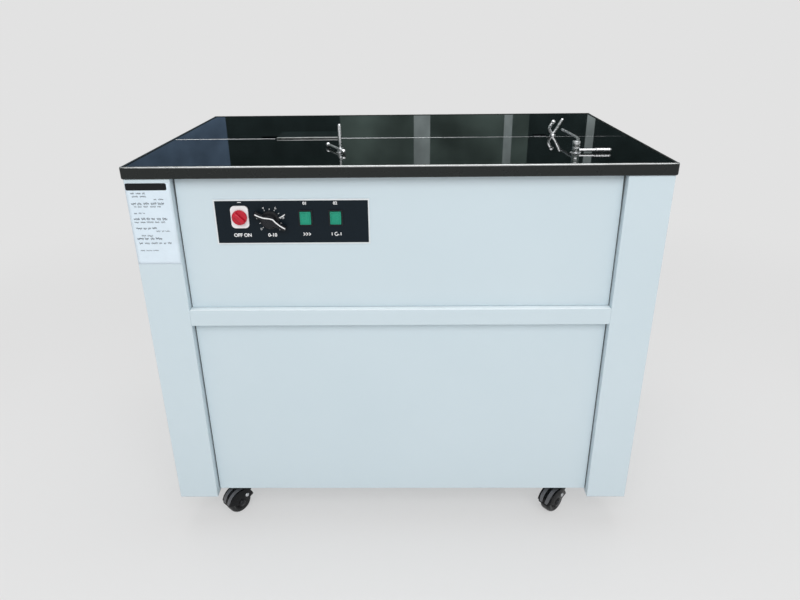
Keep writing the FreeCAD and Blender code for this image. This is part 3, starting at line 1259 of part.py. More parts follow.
def build():
    """Every node of the machine by name."""
    nodes = {}
    for end, side_y in (("front", -1), ("rear", 1)):
        for hand, side_x in (("left", -1), ("right", 1)):
            nodes[f"corner_post_{end}_{hand}"] = corner_post(side_x, side_y)
    holes = Part.makeCompound(screws_at(SCREW_R, SHEET, 0))
    nodes["cabinet_screws"] = cabinet_screws()
    nodes["left_side_panel"] = side_panel(-1).cut(holes)
    nodes["right_side_panel"] = side_panel(1).cut(holes)
    nodes["rear_panel"] = rear_panel().cut(holes)
    nodes["front_upper_panel"] = front_upper_panel()
    nodes["front_rail"] = front_rail()
    nodes["front_door"] = front_door()
    nodes["door_hinge_pins"] = door_hinge_pins()
    nodes["base_tray"] = base_tray()
    nodes["cable_gland"] = cable_gland()
    nodes["table_rim"] = table_rim()
    nodes["table_frame"] = table_frame()
    nodes["table_plate_front"] = table_plate_front()
    nodes["table_plate_rear"] = table_plate_rear()
    nodes["slide_plate"] = slide_plate()
    nodes["control_fascia"] = control_fascia()
    nodes["switch_plate"] = switch_plate()
    nodes["switch_bodies"] = switch_bodies()
    nodes["power_knob"] = power_knob()
    nodes["timer_knob"] = timer_knob()
    for name, x in BUTTON_X.items():
        nodes[name] = push_button(x)
    nodes["strap_fork"] = strap_fork()
    nodes["guide_posts"] = guide_posts()
    nodes["guide_lever"] = guide_lever()
    nodes["guide_finger"] = guide_finger()
    nodes["head_shelf"] = head_shelf()
    nodes["head_frame"] = head_frame()
    nodes["gripper_block"] = gripper_block()
    left_x, press_x, right_x = gripper_centres()
    nodes["left_gripper"] = gripper(left_x, True)
    nodes["press_cutter"] = gripper(press_x, False)
    nodes["right_gripper"] = gripper(right_x, True)
    nodes["camshaft"] = camshaft()
    nodes["heater_arm"] = heater_arm()
    nodes["gearbox"] = gearbox()
    gearbox_rear = PATH_Y + GEARBOX_HALF_Y
    nodes["input_pulley"] = grooved_pulley(INPUT_PULLEY_R, INPUT_HEIGHT, gearbox_rear - SHAFT_BITE / 2)
    motor_rear = PULLEY_Y - PULLEY_STANDOFF
    nodes["motor_pulley"] = grooved_pulley(MOTOR_PULLEY_R, MOTOR_HEIGHT, motor_rear - SHAFT_BITE)
    nodes["drive_belt"] = drive_belt()
    nodes["main_motor"] = main_motor()
    nodes["feed_motor"] = feed_motor()
    nodes["feed_roller"] = feed_roller()
    nodes["pinch_roller"] = pinch_roller()
    nodes["strap_chute"] = strap_chute()
    nodes["reel_stand"] = reel_stand()
    nodes["reel_drum"] = reel_drum()
    nodes["reel_flange_outer"] = reel_flange_outer()
    nodes["control_box"] = control_box()
    nodes["caster_plates"] = caster_plates()
    fork = caster_fork()
    wheel = caster_wheel()
    for name, x, y in caster_places():
        nodes[f"caster_fork_{name}"] = placed(fork, CASTER_TURN[name], V(x, y, 0))
        nodes[f"caster_wheel_{name}"] = placed(wheel, CASTER_TURN[name], V(x, y, 0))
    return nodes


def main():
    os.makedirs("parts", exist_ok=True)
    for name, shape in build().items():
        shape.exportStep(os.path.join("parts", name + ".step"))


if __name__ == "__main__":
    main()
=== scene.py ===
"""The looks of the table strapping machine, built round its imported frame.

Meshes are made in millimetres and scaled as they become pieces. The stage, the camera and what goes into
shaders and modifiers are in metres.
"""

import json
import math
import random

import bmesh
import bpy
from mathutils import Matrix, Vector


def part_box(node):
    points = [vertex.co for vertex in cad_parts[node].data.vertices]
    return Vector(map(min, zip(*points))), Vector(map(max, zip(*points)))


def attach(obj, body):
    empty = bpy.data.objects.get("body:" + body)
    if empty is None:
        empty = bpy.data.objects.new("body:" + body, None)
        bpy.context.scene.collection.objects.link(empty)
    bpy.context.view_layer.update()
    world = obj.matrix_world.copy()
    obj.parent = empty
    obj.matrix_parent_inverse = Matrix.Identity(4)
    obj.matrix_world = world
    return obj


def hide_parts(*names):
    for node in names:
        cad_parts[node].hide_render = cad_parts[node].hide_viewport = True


MM = 0.001
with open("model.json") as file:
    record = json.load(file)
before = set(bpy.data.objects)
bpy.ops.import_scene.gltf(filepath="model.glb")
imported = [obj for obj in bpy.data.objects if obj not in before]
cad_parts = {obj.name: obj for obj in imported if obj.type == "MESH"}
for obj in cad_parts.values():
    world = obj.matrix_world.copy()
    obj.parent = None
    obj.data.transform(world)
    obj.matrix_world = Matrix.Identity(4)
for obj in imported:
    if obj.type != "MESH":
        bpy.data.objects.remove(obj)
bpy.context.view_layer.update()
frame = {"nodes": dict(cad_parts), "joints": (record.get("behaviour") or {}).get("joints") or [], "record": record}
NODES = frame["nodes"]
JOINTS = {joint["name"]: joint for joint in frame["joints"]}

# The camera that took the photograph
CAMERA_PLACE = Vector((17.3, -1315.8, 954.6)) * MM
CAMERA_PITCH_DOWN = math.radians(23.739)
CAMERA_YAW = math.radians(0.895)
CAMERA_ROLL = math.radians(-0.635)
CAMERA_LENS = 29.235
CAMERA_SENSOR = 36.0

# Stage
STAGE_GREY = (0.761, 0.761, 0.761)
FLOOR_FADE = (0.9, 2.4)
FLOOR_GLOW = 0.60
FLOOR_RADIUS = 5.0
COVE_RADIUS = 2.0
COVE_TOP = 5.0
WORLD_STRENGTH = 0.56
RING_RADIUS = 3.6
RING_LOW = 0.80
RING_HIGH = 2.6


# Shader building

class Tree:
    """The node tree of a new material."""

    def __init__(self, name):
        self.material = bpy.data.materials.new(name)
        self.material.use_nodes = True
        self.nodes = self.material.node_tree.nodes
        self.shader = self.nodes["Principled BSDF"]
        self.place = self.node("ShaderNodeTexCoord").outputs["Object"]

    def fill(self, node, inputs):
        """Sets inputs, by name or number, to numbers or links them to sockets."""
        for key, value in inputs.items():
            if isinstance(value, bpy.types.NodeSocket):
                self.material.node_tree.links.new(value, node.inputs[key])
            else:
                node.inputs[key].default_value = value

    def node(self, kind, inputs=None, **settings):
        made = self.nodes.new(kind)
        for key, value in settings.items():
            setattr(made, key, value)
        self.fill(made, inputs or {})
        return made

    def noise(self, scale, detail=3.0, roughness=0.5, stretch=(1, 1, 1)):
        """Noise over the object's coordinates, which are stretched along each axis."""
        mapping = self.node("ShaderNodeMapping", {"Scale": stretch, "Vector": self.place})
        return self.node("ShaderNodeTexNoise", {"Scale": scale, "Detail": detail, "Roughness": roughness,
                                                "Vector": mapping.outputs["Vector"]}).outputs["Fac"]

    def spread(self, value, low, high, out_low, out_high, kind="SMOOTHSTEP"):
        """The value with low to high stretched to out_low to out_high, and clamped."""
        inputs = {"Value": value, "From Min": low, "From Max": high, "To Min": out_low, "To Max": out_high}
        return self.node("ShaderNodeMapRange", inputs, interpolation_type=kind).outputs["Result"]

    def blend(self, factor, first, second):
        """A colour between two."""
        ends = {"Factor": factor, 6: (*first, 1), 7: (*second, 1)}
        return self.node("ShaderNodeMix", ends, data_type="RGBA").outputs[2]

    def math(self, operation, first, second):
        return self.node("ShaderNodeMath", {0: first, 1: second}, operation=operation).outputs[0]

    def finish(self, shader):
        """Puts a stage shader in place of the Principled one."""
        self.nodes.remove(self.shader)
        self.fill(self.nodes["Material Output"], {"Surface": shader})
        return self.material


class Look(Tree):
    """A material being built: one Principled shader and what feeds it."""

    def __init__(self, name, colour, roughness, metallic=0.0, **constants):
        super().__init__(name)
        self.fill(self.shader, {"Base Color": (*colour, 1), "Roughness": roughness, "Metallic": metallic})
        self.fill(self.shader, {socket.replace("_", " "): value for socket, value in constants.items()})
        self.colour = colour
        self.relief = None

    def coloured(self, factor, first, second):
        """Feeds the colour with a blend of two."""
        self.fill(self.shader, {"Base Color": self.blend(factor, first, second)})

    def clouded(self, scale, amount, tint=(1, 1, 1)):
        """Lets the colour drift by a share over the surface, towards a tint."""
        factor = self.spread(self.noise(scale, 5.0, 0.6), 0.3, 0.7, 0.0, 1.0)
        darker = [c * (1 - amount * t) for c, t in zip(self.colour, tint)]
        lighter = [min(1.0, c * (1 + amount * t)) for c, t in zip(self.colour, tint)]
        self.coloured(factor, darker, lighter)

    def smudged(self, scale, low, high, stretch=(1, 1, 1)):
        """Lets the roughness drift between two values."""
        value = self.spread(self.noise(scale, 6.0, 0.65, stretch), 0.32, 0.68, low, high)
        self.fill(self.shader, {"Roughness": value})

    def textured(self, height, depth, strength):
        """Adds a height socket, in metres of depth, to the surface's relief."""
        inputs = {"Strength": strength, "Distance": depth, "Height": height}
        if self.relief is not None:
            inputs["Normal"] = self.relief
        self.relief = self.node("ShaderNodeBump", inputs).outputs["Normal"]
        self.fill(self.shader, {"Normal": self.relief})

    def edge_mask(self, radius):
        """About 1 along outer and inner edges and 0 on flat faces."""
        rounded = self.node("ShaderNodeBevel", {"Radius": radius}, samples=4).outputs["Normal"]
        plain = self.node("ShaderNodeNewGeometry").outputs["Normal"]
        dot = self.node("ShaderNodeVectorMath", {0: rounded, 1: plain}, operation="DOT_PRODUCT")
        return self.spread(dot.outputs["Value"], 0.75, 0.999, 1.0, 0.0)


def surface(name, colour, roughness, cloud, smudge, *reliefs, **constants):
    """A look whose colour and roughness drift, with layers of (noise, depth in millimetres, strength) as relief."""
    look = Look(name, colour, roughness, **constants)
    look.clouded(*cloud)
    if smudge:
        look.smudged(*smudge)
    for noise, depth, strength in reliefs:
        look.textured(look.noise(*noise), depth * MM, strength)
    return look.material


def powder_coat(name, colour, roughness):
    """Sheet-metal paint with orange peel, slight panel waves and faint handling marks."""
    return surface(name, colour, roughness, (2.2, 0.018, (1.0, 0.7, 0.6)),
                   (5.0, roughness - 0.05, roughness + 0.06),
                   ((5.0, 2.0), 0.5, 0.35), ((420.0, 2.0), 0.02, 0.30), Specular_IOR_Level=0.5)


def moulded(name, colour, roughness, drift=0.08, shine=0.5):
    """A moulded plastic with fine texture."""
    return surface(name, colour, roughness, (60.0, drift), (90.0, roughness * 0.8, roughness * 1.25),
                   ((1500.0, 3.0), 0.02, 0.35), Specular_IOR_Level=shine)


def turned_metal(name, colour, roughness, grain=(1, 1, 1), depth=0.01):
    """Bare metal with fine machining lines that run across the stretched direction."""
    return surface(name, colour, roughness, (30.0, 0.05), (260.0, roughness * 0.7, roughness * 1.5, grain),
                   ((900.0, 4.0, 0.7, grain), depth, 0.5), metallic=1.0)


def table_gloss(name):
    """Mirror-black laminate: a nearly flat surface with faint waves, hairline scratches and dust."""
    look = Look(name, (0.0014, 0.0022, 0.0022), 0.02, IOR=1.5)
    dust = look.spread(look.noise(900.0, 2.0), 0.70, 0.80, 0.0, 1.0)
    patches = look.spread(look.noise(7.0, 4.0), 0.35, 0.75, 0.0, 0.35)
    specks = look.math("MULTIPLY", dust, patches)
    look.coloured(specks, look.colour, (0.06, 0.065, 0.06))
    look.smudged(9.0, 0.012, 0.040)
    look.textured(look.noise(3.5, 1.0), 0.25 * MM, 0.10)
    scratch = look.spread(look.noise(70.0, 3.0, 0.6, (1, 14, 1)), 0.66, 0.72, 0.0, 1.0)
    look.textured(scratch, 0.004 * MM, 0.25)
    return look.material


def rim_trim(name):
    """Dark brown-black edging, satin, a little greyer along its edges: partly wear where hands rub it, partly a
    painted highlight.
    """
    look = Look(name, (0.010, 0.0125, 0.0120), 0.26, Specular_IOR_Level=0.32)
    # The edges are painted lighter, partly as wear and partly as a painted highlight along them.
    wear_and_sheen_edges = look.edge_mask(2.2 * MM)
    rubbed_wear_and_sheen = look.math("MULTIPLY", wear_and_sheen_edges, look.spread(look.noise(14.0, 5.0), 0.4, 0.65, 0.15, 0.8))
    look.coloured(rubbed_wear_and_sheen, look.colour, (0.045, 0.045, 0.043))
    look.smudged(22.0, 0.22, 0.38)
    look.textured(look.noise(700.0, 3.0, 0.5, (0.3, 0.3, 1)), 0.02 * MM, 0.4)
    return look.material


def mirror_steel(name):
    """Polished, slightly darkened steel with faint sliding marks along X."""
    return surface(name, (0.50, 0.51, 0.51), 0.05, (25.0, 0.06), (120.0, 0.03, 0.10, (0.06, 1, 1)),
                   ((500.0, 4.0, 0.7, (0.04, 1, 1)), 0.004, 0.4), metallic=1.0)


def cast_iron(name, colour):
    """Painted cast metal with a coarse grain."""
    return surface(name, colour, 0.5, (18.0, 0.10), (40.0, 0.40, 0.60), ((240.0, 6.0, 0.7), 0.25, 0.5))


def rubber(name, colour, roughness):
    return surface(name, colour, roughness, (50.0, 0.15), (60.0, roughness - 0.1, roughness + 0.1),
                   ((800.0, 4.0, 0.7), 0.04, 0.5), Specular_IOR_Level=0.35)


def paper(name, colour):
    return surface(name, colour, 0.7, (40.0, 0.02), (), ((1300.0, 5.0, 0.7), 0.02, 0.4), ((30.0, 2.0), 0.4, 0.2))


def printed(name, colour, shine=0.5):
    """Screen-printed ink."""
    return surface(name, colour, 0.42, (300.0, 0.06), (), ((2500.0, 2.0), 0.01, 0.3), Specular_IOR_Level=shine)


LOOKS = {name: make(name, *settings) for name, make, *settings in (
    ("cabinet_paint", powder_coat, (0.590, 0.688, 0.738), 0.34),
    ("table_gloss", table_gloss),
    ("rim_trim", rim_trim),
    ("frame_paint", powder_coat, (0.20, 0.22, 0.23), 0.42),
    ("label_black", printed, (0.0045, 0.0105, 0.0165), 0.16),
    ("white_plastic", moulded, (0.80, 0.79, 0.80), 0.28, 0.02),
    ("red_plastic", moulded, (0.50, 0.010, 0.028), 0.22, 0.08, 0.4),
    ("green_plastic", moulded, (0.012, 0.27, 0.170), 0.25, 0.08, 0.3),
    ("black_plastic", moulded, (0.010, 0.011, 0.014), 0.30, 0.08, 0.3),
    ("caster_plastic", moulded, (0.0035, 0.004, 0.005), 0.22, 0.08, 0.22),
    ("caster_tread", rubber, (0.012, 0.013, 0.014), 0.30),
    ("zinc_steel", turned_metal, (0.60, 0.61, 0.63), 0.26),
    ("chrome", turned_metal, (0.88, 0.89, 0.91), 0.24, (1, 1, 1), 0.003),
    ("polished_steel", turned_metal, (0.66, 0.66, 0.65), 0.16, (0.08, 1, 1)),
    ("machine_steel", powder_coat, (0.30, 0.31, 0.32), 0.45),
    ("cast_grey", cast_iron, (0.26, 0.28, 0.30)),
    ("motor_paint", cast_iron, (0.10, 0.16, 0.20)),
    ("pulley_metal", turned_metal, (0.62, 0.63, 0.64), 0.28),
    ("belt_rubber", rubber, (0.020, 0.020, 0.020), 0.7),
    ("box_paint", powder_coat, (0.52, 0.53, 0.52), 0.40),
    ("reel_plastic", moulded, (0.10, 0.16, 0.28), 0.5),
)}
MIRROR_STEEL = mirror_steel("mirror_steel")
INK_WHITE = printed("ink_white", (0.82, 0.83, 0.84))
BRIGHT_EDGE = turned_metal("bright_edge", (0.50, 0.51, 0.51), 0.30, (0.05, 1, 1))
FRAME_WHITE = moulded("frame_white", (0.70, 0.74, 0.76), 0.35, 0.02)
INK_DARK = printed("ink_dark", (0.008, 0.009, 0.011), 0.2)
INK_GREY = printed("ink_grey", (0.045, 0.055, 0.070), 0.3)
CARD_PAPER = paper("card_paper", (0.68, 0.78, 0.86))
# A grey for the strips on the caster hoods, which are a painted highlight.
CASTER_HIGHLIGHT_GREY = moulded("caster_painted_highlight_grey", (0.120, 0.122, 0.132), 0.30, shine=0.4)
# A dark grey for strips that are painted shade in the gaps beside the front panels and the door.
GAP_SHADE_GREY = rubber("gap_shade_grey", (0.085, 0.098, 0.102), 0.6)
# A lighter paint for the rail's top face, which is a painted highlight.
PAINTED_HIGHLIGHT_PAINT = powder_coat("rail_top_highlight_paint", (0.86, 0.93, 0.96), 0.34)


def dress_nodes():
    """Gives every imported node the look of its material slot."""
    for part in frame["record"]["subparts"]:
        materials = NODES[part["node"]].data.materials
        materials.clear()
        materials.append(LOOKS[part["material_slot"]])


# Mesh building

def box(node):
    """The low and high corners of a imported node, in millimetres."""
    return [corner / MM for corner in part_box(node)]


def pivot(joint):
    """The place of a joint, in millimetres."""
    return Vector(JOINTS[joint]["pos_m"]) / MM


def as_piece(name, mesh, slot, body="root", replaced=(), look=None, sharp_deg=35):
    """Makes an object of a mesh, smooth-shaded up to an angle, and lets it ride a body.
    It has the look of its material slot, unless another is given."""
    mesh.name = name
    mesh.transform(Matrix.Scale(MM, 4))
    mesh.materials.clear()
    mesh.materials.append(look or LOOKS[slot])
    mesh.shade_smooth()
    mesh.set_sharp_from_angle(angle=math.radians(sharp_deg))
    piece = bpy.data.objects.new(name, mesh)
    bpy.context.scene.collection.objects.link(piece)
    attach(piece, body)
    if replaced:
        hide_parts(*replaced)
    return piece


def joined(meshes):
    """One mesh of several, which are used up."""
    bm = bmesh.new()
    for mesh in meshes:
        bm.from_mesh(mesh)
        bpy.data.meshes.remove(mesh)
    made = bpy.data.meshes.new("joined")
    bm.to_mesh(made)
    bm.free()
    return made


def opened(mesh):
    """A bmesh of a mesh, which is used up."""
    bm = bmesh.new()
    bm.from_mesh(mesh)
    bpy.data.meshes.remove(mesh)
    return bm


def finished(bm):
    made = bpy.data.meshes.new("mesh")
    bmesh.ops.recalc_face_normals(bm, faces=bm.faces)
    bm.to_mesh(made)
    bm.free()
    return made


def facing(place, axis):
    """The transform that takes +Z to an axis and the origin to a place."""
    turn = Vector(axis).to_track_quat("Z", "Y").to_matrix().to_4x4()
    return Matrix.Translation(Vector(place)) @ turn


def spun(profile, steps):
    """A ring of points round Z for each (radius, height), one point where the radius is 0, and their bmesh."""
    bm = bmesh.new()
    turns = [2 * math.pi * step / steps for step in range(steps)]
    rings = []
    for radius, height in profile:
        spots = turns if radius > 0 else turns[:1]
        rings.append([bm.verts.new((radius * math.cos(t), radius * math.sin(t), height)) for t in spots])
    return bm, rings


def skin(bm, rings):
    """Makes the faces between each ring of points and the next."""
    for first, second in zip(rings, rings[1:]):
        count = max(len(first), len(second))
        for step in range(count):
            after = (step + 1) % count
            corners = [first[step % len(first)], first[after % len(first)],
                       second[after % len(second)], second[step % len(second)]]
            bm.faces.new(list(dict.fromkeys(corners)))


def turned_about(place, turn):
    """The transform that turns round Y and then moves to a place."""
    return Matrix.Translation(place) @ Matrix.Rotation(turn, 4, "Y")


def lathe(profile, place, axis=(0, 0, 1), steps=48):
    """A turned form: profile is a list of (radius, height) from one end to the other."""
    bm, rings = spun(profile, steps)
    skin(bm, rings)
    for end in (rings[0], rings[-1]):
        if len(end) > 2:
            bm.faces.new(end)
    bm.transform(facing(place, axis))
    return finished(bm)


def revolved(loop, place, axis=(0, 0, 1), steps=48):
    """A ring-shaped turned form: loop is a closed outline of (radius, height) points."""
    bm, rings = spun(loop, steps)
    skin(bm, rings + rings[:1])
    bm.transform(facing(place, axis))
    return finished(bm)


def mirrored(half):
    """A (radius, height) outline from its upper half, which is listed from the outside inwards."""
    return [(radius, -height) for radius, height in half] + half[::-1]


def fluted(mesh, centre, outside, flutes, depth):
    """Draws the outer points of a form that is turned round Y inwards by up to a share, in flutes."""
    for vertex in mesh.vertices:
        around = Vector((vertex.co.x - centre.x, vertex.co.z - centre.z))
        if around.length > outside:
            wave = 1 - depth * (0.5 + 0.5 * math.cos(flutes * math.atan2(around.y, around.x)))
            vertex.co.x, vertex.co.z = centre.x + around.x * wave, centre.z + around.y * wave
    return mesh


def sheet(rows):
    """A bmesh of quads between rows of points."""
    bm = bmesh.new()
    grid = [[bm.verts.new(point) for point in row] for row in rows]
    for upper, lower in zip(grid, grid[1:]):
        for index in range(len(upper) - 1):
            bm.faces.new((upper[index], lower[index], lower[index + 1], upper[index + 1]))
    return bm


def extruded(outline, y0, y1, edge=0.0, segments=2):
    """A plate between two y values with an (x, z) outline and slightly rounded edges."""
    bm = bmesh.new()
    face = bm.faces.new([bm.verts.new((x, y0, z)) for x, z in outline])
    grown = bmesh.ops.extrude_face_region(bm, geom=[face])
    moved = [g for g in grown["geom"] if isinstance(g, bmesh.types.BMVert)]
    bmesh.ops.translate(bm, verts=moved, vec=(0, y1 - y0, 0))
    bmesh.ops.recalc_face_normals(bm, faces=bm.faces)
    if edge:
        rims = [e for e in bm.edges if abs(e.verts[0].co.y - e.verts[1].co.y) < 1e-7]
        bmesh.ops.bevel(bm, geom=rims, offset=edge, segments=segments, profile=0.5, affect="EDGES")
    return finished(bm)


def rounded_box(low, high, radius, segments=3, turn=None):
    """A box between two corners with every edge rounded. turn is an optional rotation about its middle."""
    low, high = Vector(low), Vector(high)
    bm = bmesh.new()
    bmesh.ops.create_cube(bm, size=1.0)
    size = high - low
    bm.transform(Matrix.Diagonal((*size, 1)))
    bmesh.ops.bevel(bm, geom=bm.edges[:], offset=radius, segments=segments, profile=0.5, affect="EDGES")
    if turn is not None:
        bm.transform(turn.to_4x4())
    bm.transform(Matrix.Translation((low + high) / 2))
    return finished(bm)


def drawn(curve):
    """The mesh of a curve or text, which is used up."""
    holder = bpy.data.objects.new("curve", curve)
    bpy.context.scene.collection.objects.link(holder)
    bpy.context.view_layer.update()
    made = bpy.data.meshes.new_from_object(holder.evaluated_get(bpy.context.evaluated_depsgraph_get()))
    bpy.data.objects.remove(holder)
    bpy.data.curves.remove(curve)
    return made


def tube(points, radius, smooth=True, closed=False, sides=6, steps=10, shares=()):
    """A round bar that follows points, on one smooth curve or straight from point to point.
    shares are the parts of the radius at each point."""
    curve = bpy.data.curves.new("tube", "CURVE")
    curve.dimensions = "3D"
    curve.bevel_depth = radius
    curve.bevel_resolution = sides
    curve.use_fill_caps = not closed
    spline = curve.splines.new("NURBS" if smooth else "POLY")
    spline.points.add(len(points) - 1)
    for point, place in zip(spline.points, points):
        point.co = (*place, 1)
    for point, share in zip(spline.points, shares):
        point.radius = share
    if smooth:
        spline.order_u = 3
        spline.use_endpoint_u = not closed
        spline.resolution_u = steps
    spline.use_cyclic_u = closed
    return drawn(curve)


def ball(place, radius):
    bm = bmesh.new()
    bmesh.ops.create_icosphere(bm, subdivisions=4, radius=radius)
    bm.transform(Matrix.Translation(Vector(place)))
    return finished(bm)


def lettered(text, height, place, thick=0.08, bold=0.0):
    """Raised characters that face -Y, centred on a place."""
    curve = bpy.data.curves.new("text", "FONT")
    curve.body = text
    curve.size = height * 1.38
    curve.extrude = thick
    curve.offset = bold
    curve.align_x = curve.align_y = "CENTER"
    made = drawn(curve)
    made.transform(Matrix.Translation(Vector(place)) @ Matrix.Rotation(math.pi / 2, 4, "X"))
    return made


def stroke(points, width, y, thick=0.08, closed=False):
    """A printed line of a width through (x, z) points, lying on a face that looks along -Y."""
    flat = [Vector((x, z)) for x, z in points]
    count = len(flat)
    bm = bmesh.new()
    left, right = [], []
    for index, point in enumerate(flat):
        before = flat[index - 1] if index or closed else point
        after = flat[(index + 1) % count] if index < count - 1 or closed else point
        ways = [w.normalized() for w in (point - before, after - point) if w.length > 0]
        way = sum(ways, Vector((0, 0)))
        way = way.normalized() if way.length > 0 else ways[0]
        across = Vector((-way.y, way.x)) * (width / 2)
        stretch = max(0.5, way.dot(ways[0]))
        for side, row in ((1, left), (-1, right)):
            edge = point + across * (side / stretch)
            row.append((bm.verts.new((edge.x, y, edge.y)), bm.verts.new((edge.x, y - thick, edge.y))))
    spans = count if closed else count - 1
    for index in range(spans):
        after = (index + 1) % count
        (lb, lf), (rb, rf) = left[index], right[index]
        (lb2, lf2), (rb2, rf2) = left[after], right[after]
        for corners in ((lf, lf2, rf2, rf), (lb, rb, rb2, lb2), (lb, lb2, lf2, lf), (rb, rf, rf2, rb2)):
            bm.faces.new(corners)
    if not closed:
        for index in (0, -1):
            (lb, lf), (rb, rf) = left[index], right[index]
            bm.faces.new((lb, lf, rf, rb))
    return finished(bm)


def arc(centre, radius, start_deg, end_deg, steps):
    """(x, z) points along an arc, angles from +X towards +Z."""
    points = []
    for step in range(steps + 1):
        turn = math.radians(start_deg + (end_deg - start_deg) * step / steps)
        points.append((centre[0] + radius * math.cos(turn), centre[1] + radius * math.sin(turn)))
    return points


def soften(node, width, segments=2, angle_deg=35):
    """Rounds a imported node's sharp edges with modifiers, so that they catch light."""
    piece = NODES[node]
    weld = piece.modifiers.new("weld", "WELD")
    weld.merge_threshold = 0.001 * MM
    bevel = piece.modifiers.new("bevel", "BEVEL")
    bevel.width = width * MM
    bevel.segments = segments
    bevel.limit_method = "ANGLE"
    bevel.angle_limit = math.radians(angle_deg)
    bevel.harden_normals = True
    return piece


# Worktop trim

def worktop_trim():
    """Bright beads on the rim's long upper edges, the strip in the seam and the slide plate's bright edge."""
    low, high = box("table_rim")
    inset, radius, corner = 1.5, 1.75, 4.5
    beads = []
    for y, inward in ((low.y, 1), (high.y, -1)):
        z = high.z - inset
        line = y + inward * inset
        ends = [(low.x + inset, line + inward * corner, z),
                (low.x + corner * 0.45, line + inward * corner * 0.25, z), (low.x + corner * 1.2, line, z)]
        path = ends + [(-x, y0, z0) for x, y0, z0 in reversed(ends)]
        beads.append(tube(path, radius, True, False, 4, 8))
    as_piece("rim_beads", joined(beads), "polished_steel", look=BRIGHT_EDGE)
    front_high = box("table_plate_front")[1]
    rear_low = box("table_plate_rear")[0]
    slide_low, slide_high = box("slide_plate")
    seam_y = (front_high.y + rear_low.y) / 2
    strips = []
    clear = 3
    left, right = (-front_high.x + clear, slide_low.x - clear), (slide_high.x + clear, front_high.x - clear)
    for (x0, x1), shares in ((left, (1.0, 1.0)), (right, (0.9, 0.35))):
        strips.append(tube([(x0, seam_y, front_high.z - 0.1), (x1, seam_y, front_high.z - 0.3)],
                           0.6, False, shares=shares))
    as_piece("seam_strip", joined(strips), "zinc_steel")
    nose = rounded_box((slide_low.x + 0.3, slide_low.y - 0.5, front_high.z + 0.2),
                       (slide_high.x - 0.3, slide_low.y + 1.1, slide_high.z + 0.25), 0.5)
    as_piece("slide_plate_nose", nose, "polished_steel", "slide_table", look=BRIGHT_EDGE)
    mirror = NODES["slide_plate"].data.materials
    mirror.clear()
    mirror.append(MIRROR_STEEL)


# Controls

def fascia_print():
    """White surround, dial scale and short stroke beside it, switch words and symbols on the fascia."""
    low, high = box("control_fascia")
    face = low.y
    middle = (low + high) / 2
    border = 2.3
    half_x = (high.x - low.x) / 2 + border / 2 - 0.4
    half_z = (high.z - low.z) / 2 + border / 2 - 0.4
    outline = [(middle.x + sx * half_x, middle.z + sz * half_z) for sx, sz in ((-1, -1), (1, -1), (1, 1), (-1, 1))]
    surround = stroke(outline, border, high.y - 0.05, 1.75, True)
    as_piece("fascia_surround", surround, "white_plastic", look=FRAME_WHITE, sharp_deg=20)
    dial = pivot("timer_turn")
    switch = pivot("power_turn")
    marks = []
    scale_r = 20.5
    for step in range(11):
        turn = math.radians(225 - 27 * step)
        way = Vector((math.cos(turn), 0, math.sin(turn)))
        inner, outer = dial + way * (scale_r - 3.2), dial + way * (scale_r - 1.0)
        marks.append(stroke([(inner.x, inner.z), (outer.x, outer.z)], 0.8, face))
        if step % 2 == 0:
            number = dial + way * (scale_r + 2.2)
            marks.append(lettered(str(step), 4.2, (number.x, face, number.z)))
    beside_dial = [(-200.9, 644.5), (-195.4, 647.0), (-189.7, 650.6)]
    marks.append(stroke(beside_dial, 1.5, face))
    label_z = low.z + 14.0
    marks.append(lettered("OFF ON", 6.0, (switch.x + 1.5, face, label_z), bold=0.25))
    marks.append(lettered("0-10", 6.0, (dial.x + 2, face, label_z), bold=0.25))
    marks.append(stroke([(switch.x - 2, high.z - 3.0), (switch.x + 4, high.z - 3.0)], 1.1, face))
    feed_x, reset_x = [sum(v.x for v in box(name)) / 2 for name in ("feed_button", "reset_button")]
    for number, x in enumerate((feed_x, reset_x), 1):
        marks.append(lettered(f"0{number}", 5.0, (x, face, high.z - 5.4), bold=0.2))
    marks += arrow_symbol(feed_x, label_z + 1.5, face)
    marks += loop_symbol(reset_x, label_z + 1.5, face)
    as_piece("fascia_print", joined(marks), "white_plastic", look=INK_WHITE, sharp_deg=20)


def arrow_symbol(x, z, face):
    """Three chevrons, for feeding the strap forward."""
    strokes = []
    for step in (-1, 0, 1):
        tip = x + step * 4.6 + 2.2
        points = [(tip - 3, z + 2.6), (tip, z), (tip - 3, z - 2.6)]
        strokes.append(stroke(points, 1.2, face))
    return strokes


def loop_symbol(x, z, face):
    """A nearly closed loop with an arrow head, for starting over, with a bar on each side."""
    radius = 2.9
    end = arc((x, z), radius, 60, 350, 18)
    tip = end[-1]
    head = [(tip[0] - 2.2, tip[1] - 0.4), tip, (tip[0] + 1.6, tip[1] - 1.6)]
    bars = [stroke([(x + side * 7.5, z - 2.6), (x + side * 7.5, z + 2.6)], 1.3, face) for side in (-1, 1)]
    return [stroke(end, 1.1, face), stroke(head, 1.0, face), *bars]


def power_knob():
    """The red rotary knob: a fluted skirt, a domed base and a rounded grip."""
    low, high = box("power_knob")
    centre = pivot("power_turn")
    back = box("switch_plate")[0].y - 0.3
    radius = (high.x - low.x) / 2
    place = (centre.x, back, centre.z)
    skirt = [(0.0, 0.0), (radius * 0.94, 0.0), (radius, 0.6), (radius * 0.985, 3.0),
             (radius * 0.90, 4.0), (radius * 0.5, 4.4), (0.0, 4.5)]
    body = lathe(skirt, place, (0, -1, 0), 72)
    fluted(body, centre, radius * 0.88, 24, 0.028)
    grip_low = Vector((-radius * 0.93, back - 10.4 - centre.y, -3.9)) + centre
    grip_high = Vector((radius * 0.93, back - 3.4 - centre.y, 3.9)) + centre
    slant = Matrix.Rotation(math.radians(45), 3, "Y")
    grip = rounded_box(grip_low, grip_high, 2.6, 4, slant)
    as_piece("power_knob_red", joined([body, grip]), "red_plastic", "power_switch", ("power_knob",))


